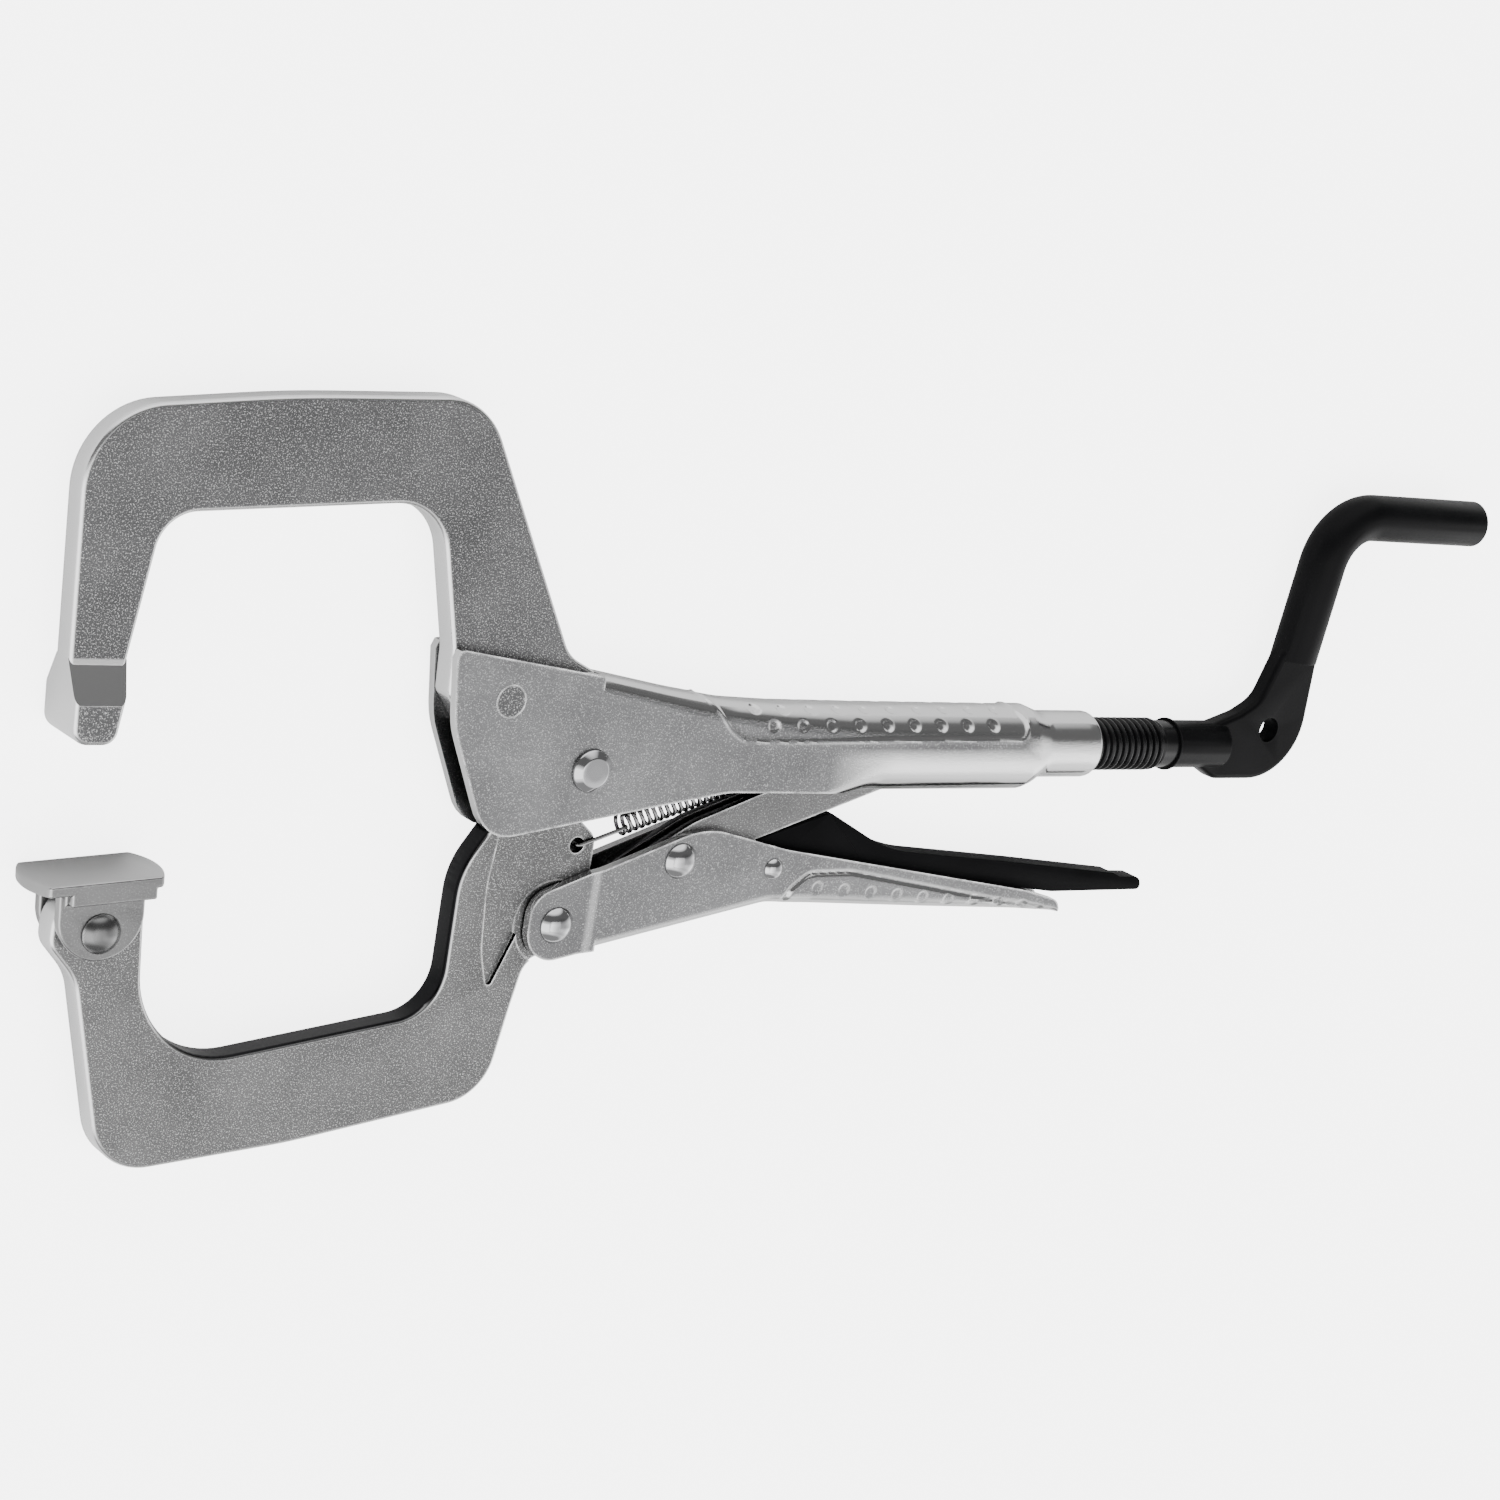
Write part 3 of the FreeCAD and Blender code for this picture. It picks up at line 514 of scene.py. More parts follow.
# upper handle: folded sheet wrapped into a barrel, with an embossed grip panel
upperSettings = dict(
    sheet=2.1, fineFrom=24, fineStep=0.42, barrelEnd=121, stepEnd=126, collarStart=127.5,
    stationX=(0, 20, 34, 48, 73, 121, 126, 141),
    halfWidth=(5.44, 5.44, 5.76, 6.7, 8.35, 8.62, 7.78, 7.78),
    top=(15.6, 12.2, 10.3, 9.6, 9.42, 9.42, 7.78, 7.78),
    corner=(3.2, 3.8, 4.6, 5.2, 7.4, 8.6, 7.76, 7.76),
    outline=((0, 15.8, 0), (-37.2, 21.1, 1.5), (-35, 4.5, 20), (-23.5, -19.8, 9), (36.5, -9.5, 25),
             (121, -8.8, 0)),
    foldStart=50.0, foldEnd=78.0, foldTurn=65.0, foldedEdge=-9.7, closedFrom=102.0, barrelBottom=-10.45,
    collarEnd=142.45, collarRound=1.6, boreRadius=6.4, softEdge=(0.85, 4, 40), cheekRows=34,
    ridge=((26.5, 0, 0), (28.6, 3.6, 6), (34.3, 9.6, 8), (38.5, 12.0, 5), (75, 11.7, 300), (116.8, 11.3, 2.2),
           (118.3, 7.2, 2.5), (116.0, 2.6, 5), (115.8, 0, 0)),
    ridgeHeight=0.28, ridgeWidth=0.46, panelDrop=0.12,
    dimpleRows=((10, 40.6, 4.2, 110.2, 3.0), (9, 45.4, 8.4, 107.6, 7.9)), dimpleRadius=1.75, dimpleDepth=0.42)


def stationCurve(x, s, label):
    # station values joined by straight runs, eased with a running mean over five samples each way
    dense = np.linspace(-5, 150, 1551)
    values = np.interp(dense, s["stationX"], s[label])
    eased = np.convolve(np.pad(values, 25, mode="edge"), np.full(51, 1 / 51), mode="valid")
    sharp = dense > 117  # the step down to the collar stays as it is
    eased[sharp] = values[sharp]
    return np.interp(x, dense, eased)


def gripHeight(x, run, s):
    # ridge along the panel's outline, the panel a little lower, dimples sunk with flat floors
    path = roundedPath(s["ridge"], 1.0)
    away = distanceToPath(x, run, path)
    inside = insidePath(x, run, np.vstack([path, [[path[-1, 0], -5], [path[0, 0], -5]]]))
    height = s["ridgeHeight"] * np.exp(-(away / s["ridgeWidth"]) ** 2)
    height -= np.where(inside, s["panelDrop"] * smooth(away / 1.2), 0.0)
    for count, x0, run0, x1, run1 in s["dimpleRows"]:
        t = np.linspace(0, 1, count)
        centres = np.stack([x0 + (x1 - x0) * t, run0 + (run1 - run0) * t], axis=1)
        gap = np.min(np.hypot(x[..., None] - centres[:, 0], run[..., None] - centres[:, 1]), axis=-1)
        height -= s["dimpleDepth"] * smooth((s["dimpleRadius"] - gap) / 0.8)
    return height


def upperHandle(s):
    # half a section at each x, from the top's middle: flat top, quarter-circle corner, straight side, then an
    # arc turned in under the barrel by foldTurn; the inner face is the same line moved in by the sheet along
    # its normal, or the round bore past the barrel; the other half is its mirror image in Z
    nTop, nArc, nSide, nFold, nIn = 6, 32, 24, 10, 14
    tTop = np.linspace(0, 1, nTop, endpoint=False)[None, :]
    tArc = np.linspace(0, np.pi / 2, nArc, endpoint=False)[None, :]
    tSide = (np.linspace(0, 1, nSide, endpoint=False) ** 1.5)[None, :]
    tFold = np.linspace(0, 1, nFold)[None, :]
    lipX = np.linspace(0, np.pi / 2, 6)[1:]
    x = np.concatenate([np.linspace(0, s["fineFrom"], 14, endpoint=False),
                        np.arange(s["fineFrom"], s["closedFrom"], s["fineStep"]), [s["closedFrom"]],
                        np.arange(s["closedFrom"], s["barrelEnd"], s["fineStep"]),
                        np.linspace(s["barrelEnd"], s["stepEnd"], 7),
                        np.linspace(s["collarStart"], s["collarEnd"] - s["collarRound"], 6),
                        s["collarEnd"] - s["collarRound"] * (1 - np.sin(lipX))])[:, None]
    openBelow = np.ones(len(x), bool)
    openBelow[int(np.argmax(x[:, 0] >= s["closedFrom"])) + 1:] = False
    openRow = openBelow[:, None]
    shrink = s["collarRound"] - np.sqrt(np.maximum(
        s["collarRound"] ** 2 - np.clip(x - s["collarEnd"] + s["collarRound"], 0, None) ** 2, 0))
    w = stationCurve(x, s, "halfWidth") - shrink
    top = stationCurve(x, s, "top") - shrink
    c = np.minimum(stationCurve(x, s, "corner") - shrink, w - 0.01)
    path = roundedPath(s["outline"])
    cornerX, cornerY = s["outline"][1][:2]
    corner = int(np.argmin(np.hypot(path[:, 0] - cornerX, path[:, 1] - cornerY)))
    low = path[corner:]
    m = smooth((x - s["foldStart"]) / (s["foldEnd"] - s["foldStart"]))
    turn = np.where(openRow, np.radians(s["foldTurn"]) * m, np.pi / 2)
    cb = np.where(openRow, w * m, w)
    stepped = np.clip((x - s["barrelEnd"]) / (s["stepEnd"] - s["barrelEnd"]), 0, 1)
    bottom = s["barrelBottom"] + (top * -1 - s["barrelBottom"]) * stepped
    bottom = np.where(x > s["stepEnd"] - 0.1, -w, bottom)
    edge = np.interp(x, low[:, 0], low[:, 1]) * (1 - m) + s["foldedEdge"] * m
    yEnd = np.where(openRow, edge, bottom)
    ySide = yEnd + cb * np.sin(turn)
    one = np.ones_like(x)
    z = np.hstack([(w - c) * tTop, (w - c) + c * np.sin(tArc), w * np.ones_like(tSide),
                   w - cb * (1 - np.cos(turn * tFold))])
    y = np.hstack([top * np.ones_like(tTop), top - c + c * np.cos(tArc),
                   (top - c) + (ySide - top + c) * tSide,
                   ySide - cb * np.sin(turn * tFold)])
    nz = np.hstack([one * 0 * tTop, one * np.sin(tArc), one * np.ones_like(tSide), np.cos(turn * tFold)])
    ny = np.hstack([one * np.ones_like(tTop), one * np.cos(tArc), one * 0 * tSide, -np.sin(turn * tFold)])
    run = np.hstack([np.zeros_like(x), np.cumsum(np.hypot(np.diff(z, axis=1), np.diff(y, axis=1)), axis=1)])
    h = gripHeight(x * np.ones_like(z), run, s)
    pick = np.linspace(0, z.shape[1] - 1, nIn).astype(int)[::-1]
    yIn = y[:, pick] - s["sheet"] * ny[:, pick]
    zIn = z[:, pick] - s["sheet"] * nz[:, pick]
    length = np.maximum(np.hypot(y[:, pick], z[:, pick]), 1e-6)
    bored = x > s["barrelEnd"]
    yIn = np.where(bored, y[:, pick] / length * s["boreRadius"], yIn)
    zIn = np.where(bored, z[:, pick] / length * s["boreRadius"], zIn)
    ringY = np.hstack([y + h * ny, yIn])
    ringZ = np.maximum(np.hstack([z + h * nz, zIn]), 0)
    rings = np.stack([x * np.ones_like(ringY), ringY, ringZ], axis=-1)
    # cheeks ahead of x = 0: straight lines from the top edge to the front and bottom edges
    rows = s["cheekRows"]
    topPath = spread(path[:corner + 1][::-1], rows)
    bottomRun = low[-200:]
    lowEnd = [0.0, np.interp(0.0, bottomRun[:, 0], bottomRun[:, 1])]
    lowPath = spread(np.vstack([low[low[:, 0] <= 0.0], [lowEnd]]), rows)
    down = np.abs(y[0] - y[0, 0]) / abs(y[0, -1] - y[0, 0])
    share = np.hstack([np.zeros(nTop), down[nTop:]])
    cheekOut = w[0, 0]
    cheekIn = cheekOut - s["sheet"]
    zRow = np.hstack([cheekIn + s["sheet"] * tTop[0], np.full(len(share) - nTop, cheekOut),
                      np.full(nIn, cheekIn)])
    f = np.hstack([share, share[pick]])[None, :, None]
    flat = topPath[:, None, :] * (1 - f) + lowPath[:, None, :] * f
    front = np.concatenate([flat, np.broadcast_to(zRow[None, :, None], flat.shape[:2] + (1,))], axis=-1)
    rings = np.concatenate([front, rings])
    isOpen = np.concatenate([np.ones(rows, bool), openBelow])
    quads = gridFaces(*rings.shape[:2])
    keep = np.ones(quads.shape[:2], bool)
    keep[~isOpen[:-1], z.shape[1] - 1] = False
    half, faces = rings.reshape(-1, 3), quads[keep]
    piece = makePiece("upperHandleShell", np.concatenate([half, half * [1, 1, -1]]),
                      np.concatenate([faces, faces + len(half)]).tolist(), ends=(s["collarEnd"] - 0.05,))
    roundEdges(piece, *s["softEdge"])
    return piece


# lower handle: folded channel, open at the top, with joggled ears and a grip panel
lowerSettings = dict(
    sheet=2.0, earOut=4.33, wallOut=5.13, cornerRadius=3.3, joggle=(4.8, 8.6), floorFrom=8.7, earRows=30,
    fineFrom=50, fineStep=0.42, fineTo=140.0, tailX=140.3, softEdge=(0.7, 3, 40),
    upperEdge=((-8.5, -40.5, 0), (-8.5, -32.7, 6.2), (33, -17.5, 20), (56, -23.0, 30), (129, -34.3, 20),
               (139.5, -37.0, 3), (140.3, -39.0, 0)),
    lowerEdge=((-8.5, -40.5, 0), (-8.5, -48.3, 6.9), (53.5, -35.8, 14), (100, -38.2, 60), (140.3, -40.0, 0)),
    groove=((57.9, -35.2, 0), (58.4, -32.6, 3), (63.4, -28.6, 4.5), (75.5, -28.6, 12), (134.5, -38.9, 0)),
    grooveDepth=0.42, grooveWidth=0.6, panelRise=0.38, panelFall=0.11,
    dimples=(9, 66.4, -32.0, 128.6, -38.0), dimpleRadius=1.75, dimpleDepth=0.26)


def lowerPanelHeight(x, y, s):
    # groove along the panel's upper edge, panel proud below it and falling away downwards, sunk dimples
    path = roundedPath(s["groove"], 1.0)
    away = distanceToPath(x, y, path)
    below = insidePath(x, y, np.vstack([path, [[path[-1, 0], -60], [path[0, 0], -60]]]))
    height = np.where(below, (s["panelRise"] - s["panelFall"] * away) * smooth(away / 0.9), 0.0)
    height -= s["grooveDepth"] * np.exp(-(away / s["grooveWidth"]) ** 2)
    count, x0, y0, x1, y1 = s["dimples"]
    t = np.linspace(0, 1, count)
    gap = np.min(np.hypot(x[..., None] - x0 - (x1 - x0) * t, y[..., None] - y0 - (y1 - y0) * t), axis=-1)
    return height - s["dimpleDepth"] * smooth((s["dimpleRadius"] - gap) / 0.8)


def lowerHandle(s):
    # half a section at each x, from the floor's middle: flat floor, quarter-circle corner, straight wall up to
    # the upper edge, raised by the panel's height; the inner face lies one sheet inside; the other half is its
    # mirror image in Z
    high, low = roundedPath(s["upperEdge"]), roundedPath(s["lowerEdge"])
    nFloor, nCorner, nWall, nIn = 4, 9, 30, 10
    floorX = s["floorFrom"]
    x = np.concatenate([np.linspace(floorX, s["fineFrom"], 40, endpoint=False),
                        np.arange(s["fineFrom"], s["fineTo"], s["fineStep"]), [s["tailX"]]])[:, None]
    yTop = np.interp(x, high[:, 0], high[:, 1])
    yLow = np.interp(x, low[:, 0], low[:, 1])
    w, t = s["wallOut"], s["sheet"]
    r = np.minimum(s["cornerRadius"], (yTop - yLow) * 0.6)
    tFloor = np.linspace(0, 1, nFloor, endpoint=False)[None, :]
    tCorner = np.linspace(0, np.pi / 2, nCorner, endpoint=False)[None, :]
    tWall = np.linspace(0, 1, nWall)[None, :]
    one = np.ones_like(x)
    z = np.hstack([(w - r) * tFloor, w - r + r * np.sin(tCorner), w * one * np.ones_like(tWall)])
    y = np.hstack([yLow * np.ones_like(tFloor), yLow + r - r * np.cos(tCorner),
                   yLow + r + (yTop - yLow - r) * tWall])
    h = lowerPanelHeight(x * np.ones_like(y), y, s)
    h = h * smooth((yTop - y) / 1.5)
    wall = np.hstack([np.zeros_like(tFloor), np.sin(tCorner), np.ones_like(tWall)])
    z = z + h * wall
    tIn = np.linspace(0, 1, nIn)[None, :]
    floorIn = np.minimum(yLow + t, yTop - 0.05)
    yIn = np.hstack([yTop + (floorIn - yTop) * tIn, floorIn * np.ones((1, 3))])
    zIn = np.hstack([(w - t) * one * np.ones_like(tIn), (w - t) * one * np.array([[0.66, 0.33, 0.0]])])
    rings = np.stack([x * np.ones((1, y.shape[1] + yIn.shape[1])), np.hstack([y, yIn]), np.hstack([z, zIn])],
                     axis=-1)
    # ears ahead of the floor: lines from the lower edge to the upper edge, stepped outwards at the joggle
    share = (y[0] - y[0, 0]) / (y[0, -1] - y[0, 0])
    shareIn = (np.hstack([yIn[0, :nIn], [y[0, 0]] * 3]) - y[0, 0]) / (y[0, -1] - y[0, 0])
    f = np.hstack([share, shareIn])[None, :, None]
    upTo = spread(np.vstack([high[high[:, 0] < floorX], [[floorX, yTop[0, 0]]]]), s["earRows"])
    lowTo = spread(np.vstack([low[low[:, 0] < floorX], [[floorX, yLow[0, 0]]]]), s["earRows"])
    flat = lowTo[:, None, :] * (1 - f) + upTo[:, None, :] * f
    step = smooth((flat[..., 0] - s["joggle"][0]) / (s["joggle"][1] - s["joggle"][0]))
    out = s["earOut"] + (w - s["earOut"]) * step
    outer = np.arange(flat.shape[1])[None, :] < y.shape[1]
    inward = np.zeros(flat.shape[1])
    inward[:nFloor] = 1 - tFloor[0]
    earZ = np.where(outer, out - t * inward[None, :], out - t)
    ears = np.concatenate([flat, earZ[..., None]], axis=-1)
    ears[:, -3:, :] = ears[:, :1, :]
    rings = np.concatenate([ears, rings])
    half, faces = rings.reshape(-1, 3), gridFaces(*rings.shape[:2]).reshape(-1, 4)
    piece = makePiece("lowerHandleShell", np.concatenate([half, half * [1, 1, -1]]),
                      np.concatenate([faces, faces + len(half)]).tolist(), ends=())
    roundEdges(piece, *s["softEdge"])
    return piece


# adjusting screw: true helix on the thread, forged crank from the solid
screwSettings = dict(
    start=105.3, end=169.5, pitch=1.954, crest=6.28, root=5.2, rod=5.66, step=0.15, around=72,
    boreRadius=2.05, boreDepth=6.0, runOut=2.2, threadEnd=164.6, cutAt=168.6, crankEdge=(0.8, 4, 30))


def threadSurface(s):
    # radius = root + (crest - root) x a wave of height 0 to 1 that moves one pitch for each turn
    x = np.arange(s["start"], s["end"], s["step"])[:, None]
    turn = np.linspace(0, 2 * np.pi, s["around"], endpoint=False)[None, :]
    phase = (x / s["pitch"] - turn / (2 * np.pi)) % 1.0
    wave = smooth((np.abs(2 * phase - 1) - 0.10) / 0.72)
    fade = smooth((s["threadEnd"] - x) / s["runOut"])
    r = s["rod"] + (s["root"] + (s["crest"] - s["root"]) * wave - s["rod"]) * fade
    r = np.minimum(r, s["root"] - 0.2 + (x - s["start"]) * 1.2)  # chamfered nose
    plain = np.array([[s["start"] + s["boreDepth"], 0.02], [s["start"] + s["boreDepth"], s["boreRadius"]],
                      [s["start"], s["boreRadius"]]])
    x = np.concatenate([plain[:, :1], x])
    r = np.concatenate([plain[:, 1:] * np.ones_like(turn), r])
    rings = np.stack([x * np.ones_like(r), r * np.cos(turn), r * np.sin(turn)], axis=-1)
    vertices, faces = capped(rings)
    return makePiece("threadHelix", vertices, faces)


def crankPiece(s):
    # the solid's crank from just behind the thread's end, with its edges rounded
    piece = copyNode("crankForging", "adjusting_screw", cutAt=s["cutAt"])
    roundEdges(piece, *s["crankEdge"])
    return piece


# tension spring: wound coil with a hook at each end
springSettings = dict(hole=(1.8, -21.9), post=(57.0, -3.2), wire=0.43, coilRadius=2.33, turns=23,
                      coilFrom=12.0, coilGap=9.0, hookHeight=2.72, postGap=1.6, around=10)


def tensionSpring(s):
    # helix: along the line from hole to post, plus coilRadius x (cos, sin) of the turn in the plane across
    # it; each hook is a straight wire with a bent end, and all three are swept as round rings
    hole, post = np.array(s["hole"]), np.array(s["post"])
    length = np.linalg.norm(post - hole)
    along = np.array([*(post - hole) / length, 0.0])
    side = np.array([-along[1], along[0], 0.0])
    up = np.array([0.0, 0.0, 1.0])
    base = np.array([*hole, 0.0])
    t = np.linspace(0, 1, s["turns"] * 26)[:, None]  # 26 rings to a turn
    turn = np.pi / 2 + 2 * np.pi * s["turns"] * t
    coil = (base + along * (s["coilFrom"] + (length - s["coilGap"] - s["coilFrom"]) * t)
            + s["coilRadius"] * (side * np.cos(turn) + up * np.sin(turn)))
    hookZ = s["hookHeight"]
    bend = np.linspace(0, np.pi / 2, 8)[:, None]
    first = np.vstack([base - up * hookZ, base + up * (hookZ - 1.0),
                       base + along * (1 - np.cos(bend)) + up * (hookZ - 1.0 + np.sin(bend)),
                       base + along * (s["coilFrom"] - 1.2) + up * hookZ,
                       base + along * (s["coilFrom"] + 0.6) + up * s["coilRadius"]])
    last = np.vstack([base + along * (length - s["coilGap"] - 0.6) + up * s["coilRadius"],
                      base + along * (length - s["coilGap"] + 1.0) + up * hookZ,
                      base + along * (length - s["postGap"]) + up * hookZ])
    vertices, faces = [], []
    for path, across in ((first, side), (coil, along), (last, side)):
        tangent = np.gradient(path, axis=0)
        tangent /= np.linalg.norm(tangent, axis=1, keepdims=True)
        flat = across - tangent * (tangent @ across)[:, None]
        flat /= np.linalg.norm(flat, axis=1, keepdims=True)
        size = np.full(len(path), s["wire"])
        rings = sweep(path, flat, np.cross(tangent, flat), size, size, np.full(len(path), 2.0), s["around"])
        part, partFaces = capped(rings)
        start = sum(len(v) for v in vertices)
        vertices.append(part)
        faces += [[i + start for i in face] for face in partFaces]
    return makePiece("springCoil", np.concatenate(vertices), faces), along, base, length


# rivets: one profile turned about the pin's axis
# domed: node, body, place, shank radius, head radius, head height, seat above the mid-plane, rim height
rivetSettings = dict(
    around=72,
    domed=(("handle_pivot_rivet", "lower_handle", (-1.5, -38.9), 2.5, 4.0, 2.3, 4.35, 0.2),
           ("toggle_rivet", "lower_handle", (27.4, -25.0), 2.5, 4.0, 2.3, 5.15, 0.2),
           ("release_lever_rivet", "lower_handle", (53.1, -27.4), 1.6, 2.45, 1.4, 5.15, 0.12),
           ("pad_rivet", "swivel_pad", (-107.4, -36.7), 2.5, 4.1, 2.3, 5.6, 0.2)),
    pivotAt=(0.0, -4.5), pivotShank=3.0, pivotSeat=5.44,
    pivotHead=((4.6, 0.0), (4.7, 0.08), (4.7, 0.5), (4.62, 0.72), (4.45, 0.88),
               (3.35, 1.74), (3.2, 1.84), (2.95, 1.9), (1.5, 1.9), (0.02, 1.9)))


def domeProfile(headRadius, height, rim):
    # radius and height above the seat: short upright rim, then part of a ball whose top is at the full height
    ball = (headRadius ** 2 + (height - rim) ** 2) / (2 * (height - rim))
    turn = np.linspace(math.asin(headRadius / ball), 0.002, 22)[:, None]
    curve = np.hstack([ball * np.sin(turn), height - ball + ball * np.cos(turn)])
    return np.vstack([[headRadius - 0.1, 0.0], [headRadius, 0.04], curve])


def turnedRivet(name, at, shankRadius, head, seat, around):
    # the head's profile and its mirror image joined by the shank, turned about the pin's axis
    shank = np.array([[shankRadius, seat - 0.1], [shankRadius, seat]])
    half = np.vstack([shank, head + [0.0, seat]])
    profile = np.vstack([half[::-1] * [1, -1], half])
    turn = np.linspace(0, 2 * np.pi, around, endpoint=False)[None, :]
    x = at[0] + profile[:, :1] * np.cos(turn)
    y = at[1] + profile[:, :1] * np.sin(turn)
    vertices, faces = capped(np.stack([x, y, profile[:, 1:] * np.ones_like(turn)], axis=-1))
    return makePiece(name, vertices, faces)


for node, body, at, shankRadius, headRadius, height, seat, rim in rivetSettings["domed"]:
    rivet = turnedRivet(node + "Turned", at, shankRadius, domeProfile(headRadius, height, rim), seat,
                        rivetSettings["around"])
    joinCad(rivet, body, [node], padRivetMetal if body == "swivel_pad" else rivetMetal)
pivotRivet = turnedRivet("mainPivotTurned", rivetSettings["pivotAt"], rivetSettings["pivotShank"],
                         np.array(rivetSettings["pivotHead"]), rivetSettings["pivotSeat"],
                         rivetSettings["around"])
joinCad(pivotRivet, "upper_handle", ["main_pivot_rivet"], rivetMetal)
print("rivets made")

shell = upperHandle(upperSettings)
joinCad(shell, "upper_handle", ["upper_handle"], barrelMetal)
print("upper handle made")
channel = lowerHandle(lowerSettings)
joinCad(channel, "lower_handle", ["lower_handle"], sheetMetal)
print("lower handle made")
thread = threadSurface(screwSettings)
joinCad(thread, "crank_screw", ["adjusting_screw"], threadOxide)
crank = crankPiece(screwSettings)
joinCad(crank, "crank_screw", ["adjusting_screw"], blackOxide)
print("screw made")
spring, springAlong, springBase, springLength = tensionSpring(springSettings)
spring.data.materials.append(wireMetal)
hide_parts("tension_spring")
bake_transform(spring)
print("spring made")
for nodeName, body, slotName, material, edge in (
        ("moving_jaw", "moving_jaw", "plated_forging", forgingPaintedShade, 0.35),
        ("swivel_pad", "swivel_pad", "pad_steel", padMetal, 0.85),
        ("toggle_link", "toggle_link", "plated_sheet", linkMetal, 0.8),
        ("release_lever", "release_lever", "black_oxide", leverOxide, 0.5)):
    piece = copyNode(nodeName + "Finished", nodeName)
    roundEdges(piece, edge, 3, 40)
    joinCad(piece, body, [nodeName], material)
print("plates made")

# floor, light and camera
stageSettings = dict(
    floorHalf=4.0, floorColour=(0.90, 0.90, 0.90), floorGlow=4.6,
    skyBright=1.8, skyDark=0.04, stripBright=3.6,
    wallRise=(0.0, 0.26), wallFall=(0.84, 0.68), wallShare=0.93, nearRise=(-0.72, -0.84), nearShare=0.8,
    stripRise=(-0.26, -0.36), stripFall=(-0.62, -0.5), stripSide=(0.25, 0.5),
    lamps=(("overheadSoft", 1.6, 9.0, (-0.1, -0.3, 1.7)), ("sideSoft", 1.2, 5.0, (-1.3, -0.6, 0.9))))


def makeStage(s):
    # pale floor that glows for the camera only, so that its light doesn't reach the tool
    half = s["floorHalf"]
    mesh = bpy.data.meshes.new("floor")
    corners = [(-half, -half, 0), (half, -half, 0), (half, half, 0), (-half, half, 0)]
    mesh.from_pydata(corners, [], [(0, 1, 2, 3)])
    floor = bpy.data.objects.new("floor", mesh)
    bpy.context.scene.collection.objects.link(floor)
    paint = bpy.data.materials.new("floorPaint")
    paint.use_nodes = True
    tree = paint.node_tree
    shader = tree.nodes["Principled BSDF"]
    shader.inputs["Base Color"].default_value = (*s["floorColour"], 1)
    shader.inputs["Roughness"].default_value = 0.9
    shader.inputs["Specular IOR Level"].default_value = 0.1
    shader.inputs["Emission Color"].default_value = (1, 1, 1, 1)
    seen = tree.nodes.new("ShaderNodeLightPath").outputs["Is Camera Ray"]
    link(tree, mathNode(tree, "MULTIPLY", seen, s["floorGlow"]), shader.inputs["Emission Strength"])
    mesh.materials.append(paint)


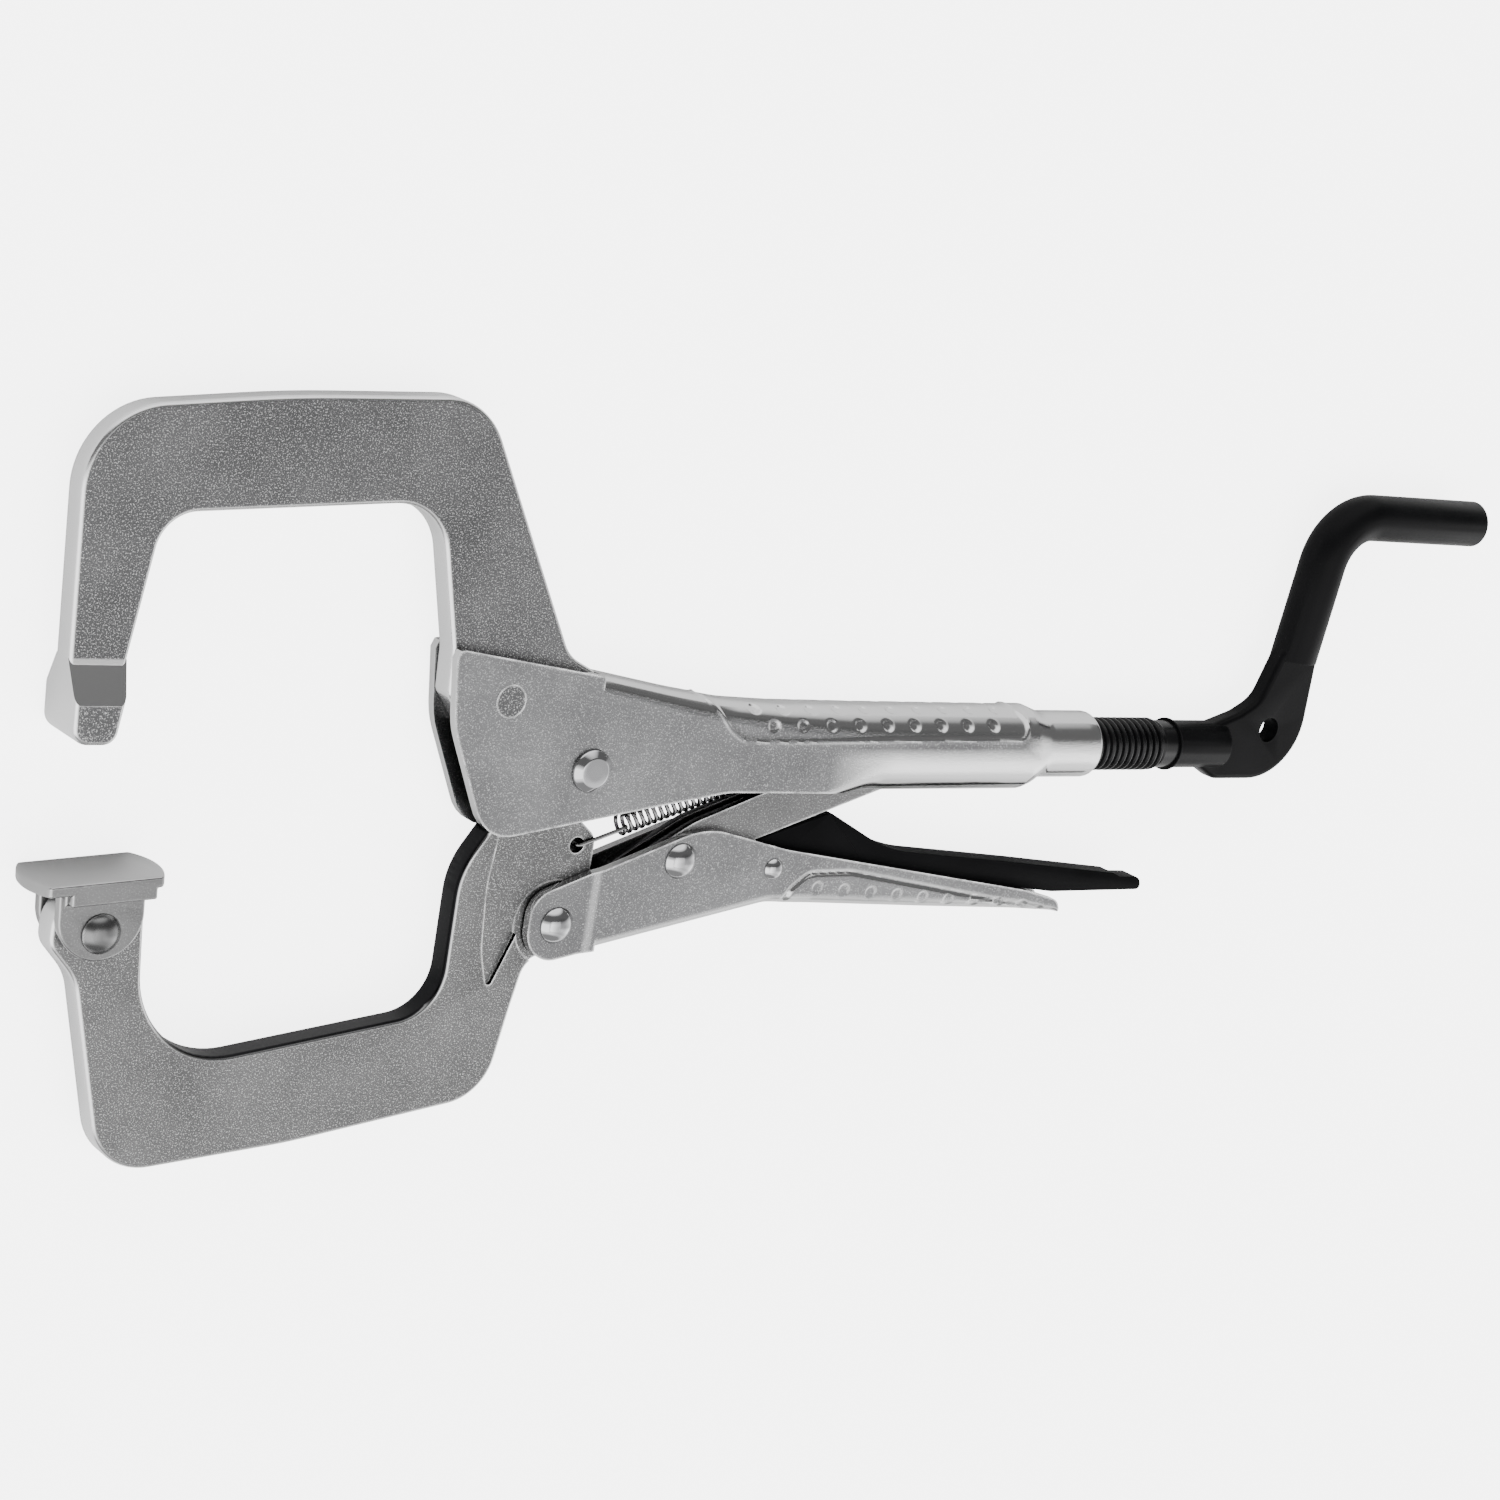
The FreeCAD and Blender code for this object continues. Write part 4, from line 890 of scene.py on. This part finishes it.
def makeSky(s):
    # white room with a dark wall beyond the fixed jaw and a greyer one opposite, which draw the dark bands in
    # the polished metal, and one bright strip that draws the highlight along the barrel
    world = bpy.data.worlds.new("studio")
    bpy.context.scene.world = world
    world.use_nodes = True
    tree = world.node_tree
    where = tree.nodes.new("ShaderNodeTexCoord").outputs["Generated"]
    parts = tree.nodes.new("ShaderNodeSeparateXYZ")
    link(tree, where, parts.inputs[0])
    wall, wallEnd, nearWall, stripStart, stripEnd = (
        rangeNode(tree, parts.outputs["Y"], *s[label])
        for label in ("wallRise", "wallFall", "nearRise", "stripRise", "stripFall"))
    dark = mathNode(tree, "MULTIPLY", mathNode(tree, "MULTIPLY", wall, wallEnd), s["wallShare"])
    dark = mathNode(tree, "MAXIMUM", dark, mathNode(tree, "MULTIPLY", nearWall, s["nearShare"]))
    colour = mixColour(tree, dark, (s["skyBright"],) * 3, (s["skyDark"],) * 3)
    strip = mathNode(tree, "MULTIPLY", stripStart, stripEnd)
    strip = mathNode(tree, "MULTIPLY", strip, rangeNode(tree, parts.outputs["X"], *s["stripSide"]))
    colour = mixColour(tree, strip, colour, (s["stripBright"],) * 3)
    link(tree, colour, tree.nodes["Background"].inputs["Color"])
    tree.nodes["Background"].inputs["Strength"].default_value = 1.0


def addLight(name, size, power, at):
    # square lamp turned towards the middle of the tool
    lamp = bpy.data.lights.new(name, "AREA")
    lamp.size = size
    lamp.energy = power
    holder = bpy.data.objects.new(name, lamp)
    bpy.context.scene.collection.objects.link(holder)
    at = np.array(at, float)
    back = at / np.linalg.norm(at)
    side = np.cross([0.0, 1.0, 0.0], back)
    side /= np.linalg.norm(side)
    turn = np.identity(4)
    turn[:3, 0], turn[:3, 1], turn[:3, 2], turn[:3, 3] = side, np.cross(back, side), back, at
    holder.matrix_world = Matrix(turn.tolist())


cameraSettings = dict(yaw=37.0, pitch=16.5, distance=801.0, aim=(85.39, -16.91, -51.66), lens=80.88)


def makeCamera(s):
    # right, up and look directions from a turn about Y and then a tilt about the camera's own right
    a, p = math.radians(s["yaw"]), math.radians(s["pitch"])
    right = np.array([math.cos(a), math.sin(a) * math.sin(p), math.sin(a) * math.cos(p)])
    up = np.array([0.0, math.cos(p), -math.sin(p)])
    look = np.array([math.sin(a), -math.cos(a) * math.sin(p), -math.cos(a) * math.cos(p)])
    lens = bpy.data.cameras.new("camera")
    lens.lens = s["lens"]
    lens.sensor_width = 36.0
    lens.clip_start = 0.01
    holder = bpy.data.objects.new("camera", lens)
    bpy.context.scene.collection.objects.link(holder)
    turn = np.identity(4)
    turn[:3, 0], turn[:3, 1], turn[:3, 2] = right, up, -look
    turn[:3, 3] = place(np.array(s["aim"]) - look * s["distance"])
    holder.matrix_world = Matrix(turn.tolist())
    bpy.context.scene.camera = holder


makeStage(stageSettings)
makeSky(stageSettings)
for name, size, power, at in stageSettings["lamps"]:
    addLight(name, size, power, at)
makeCamera(cameraSettings)
print("stage made")
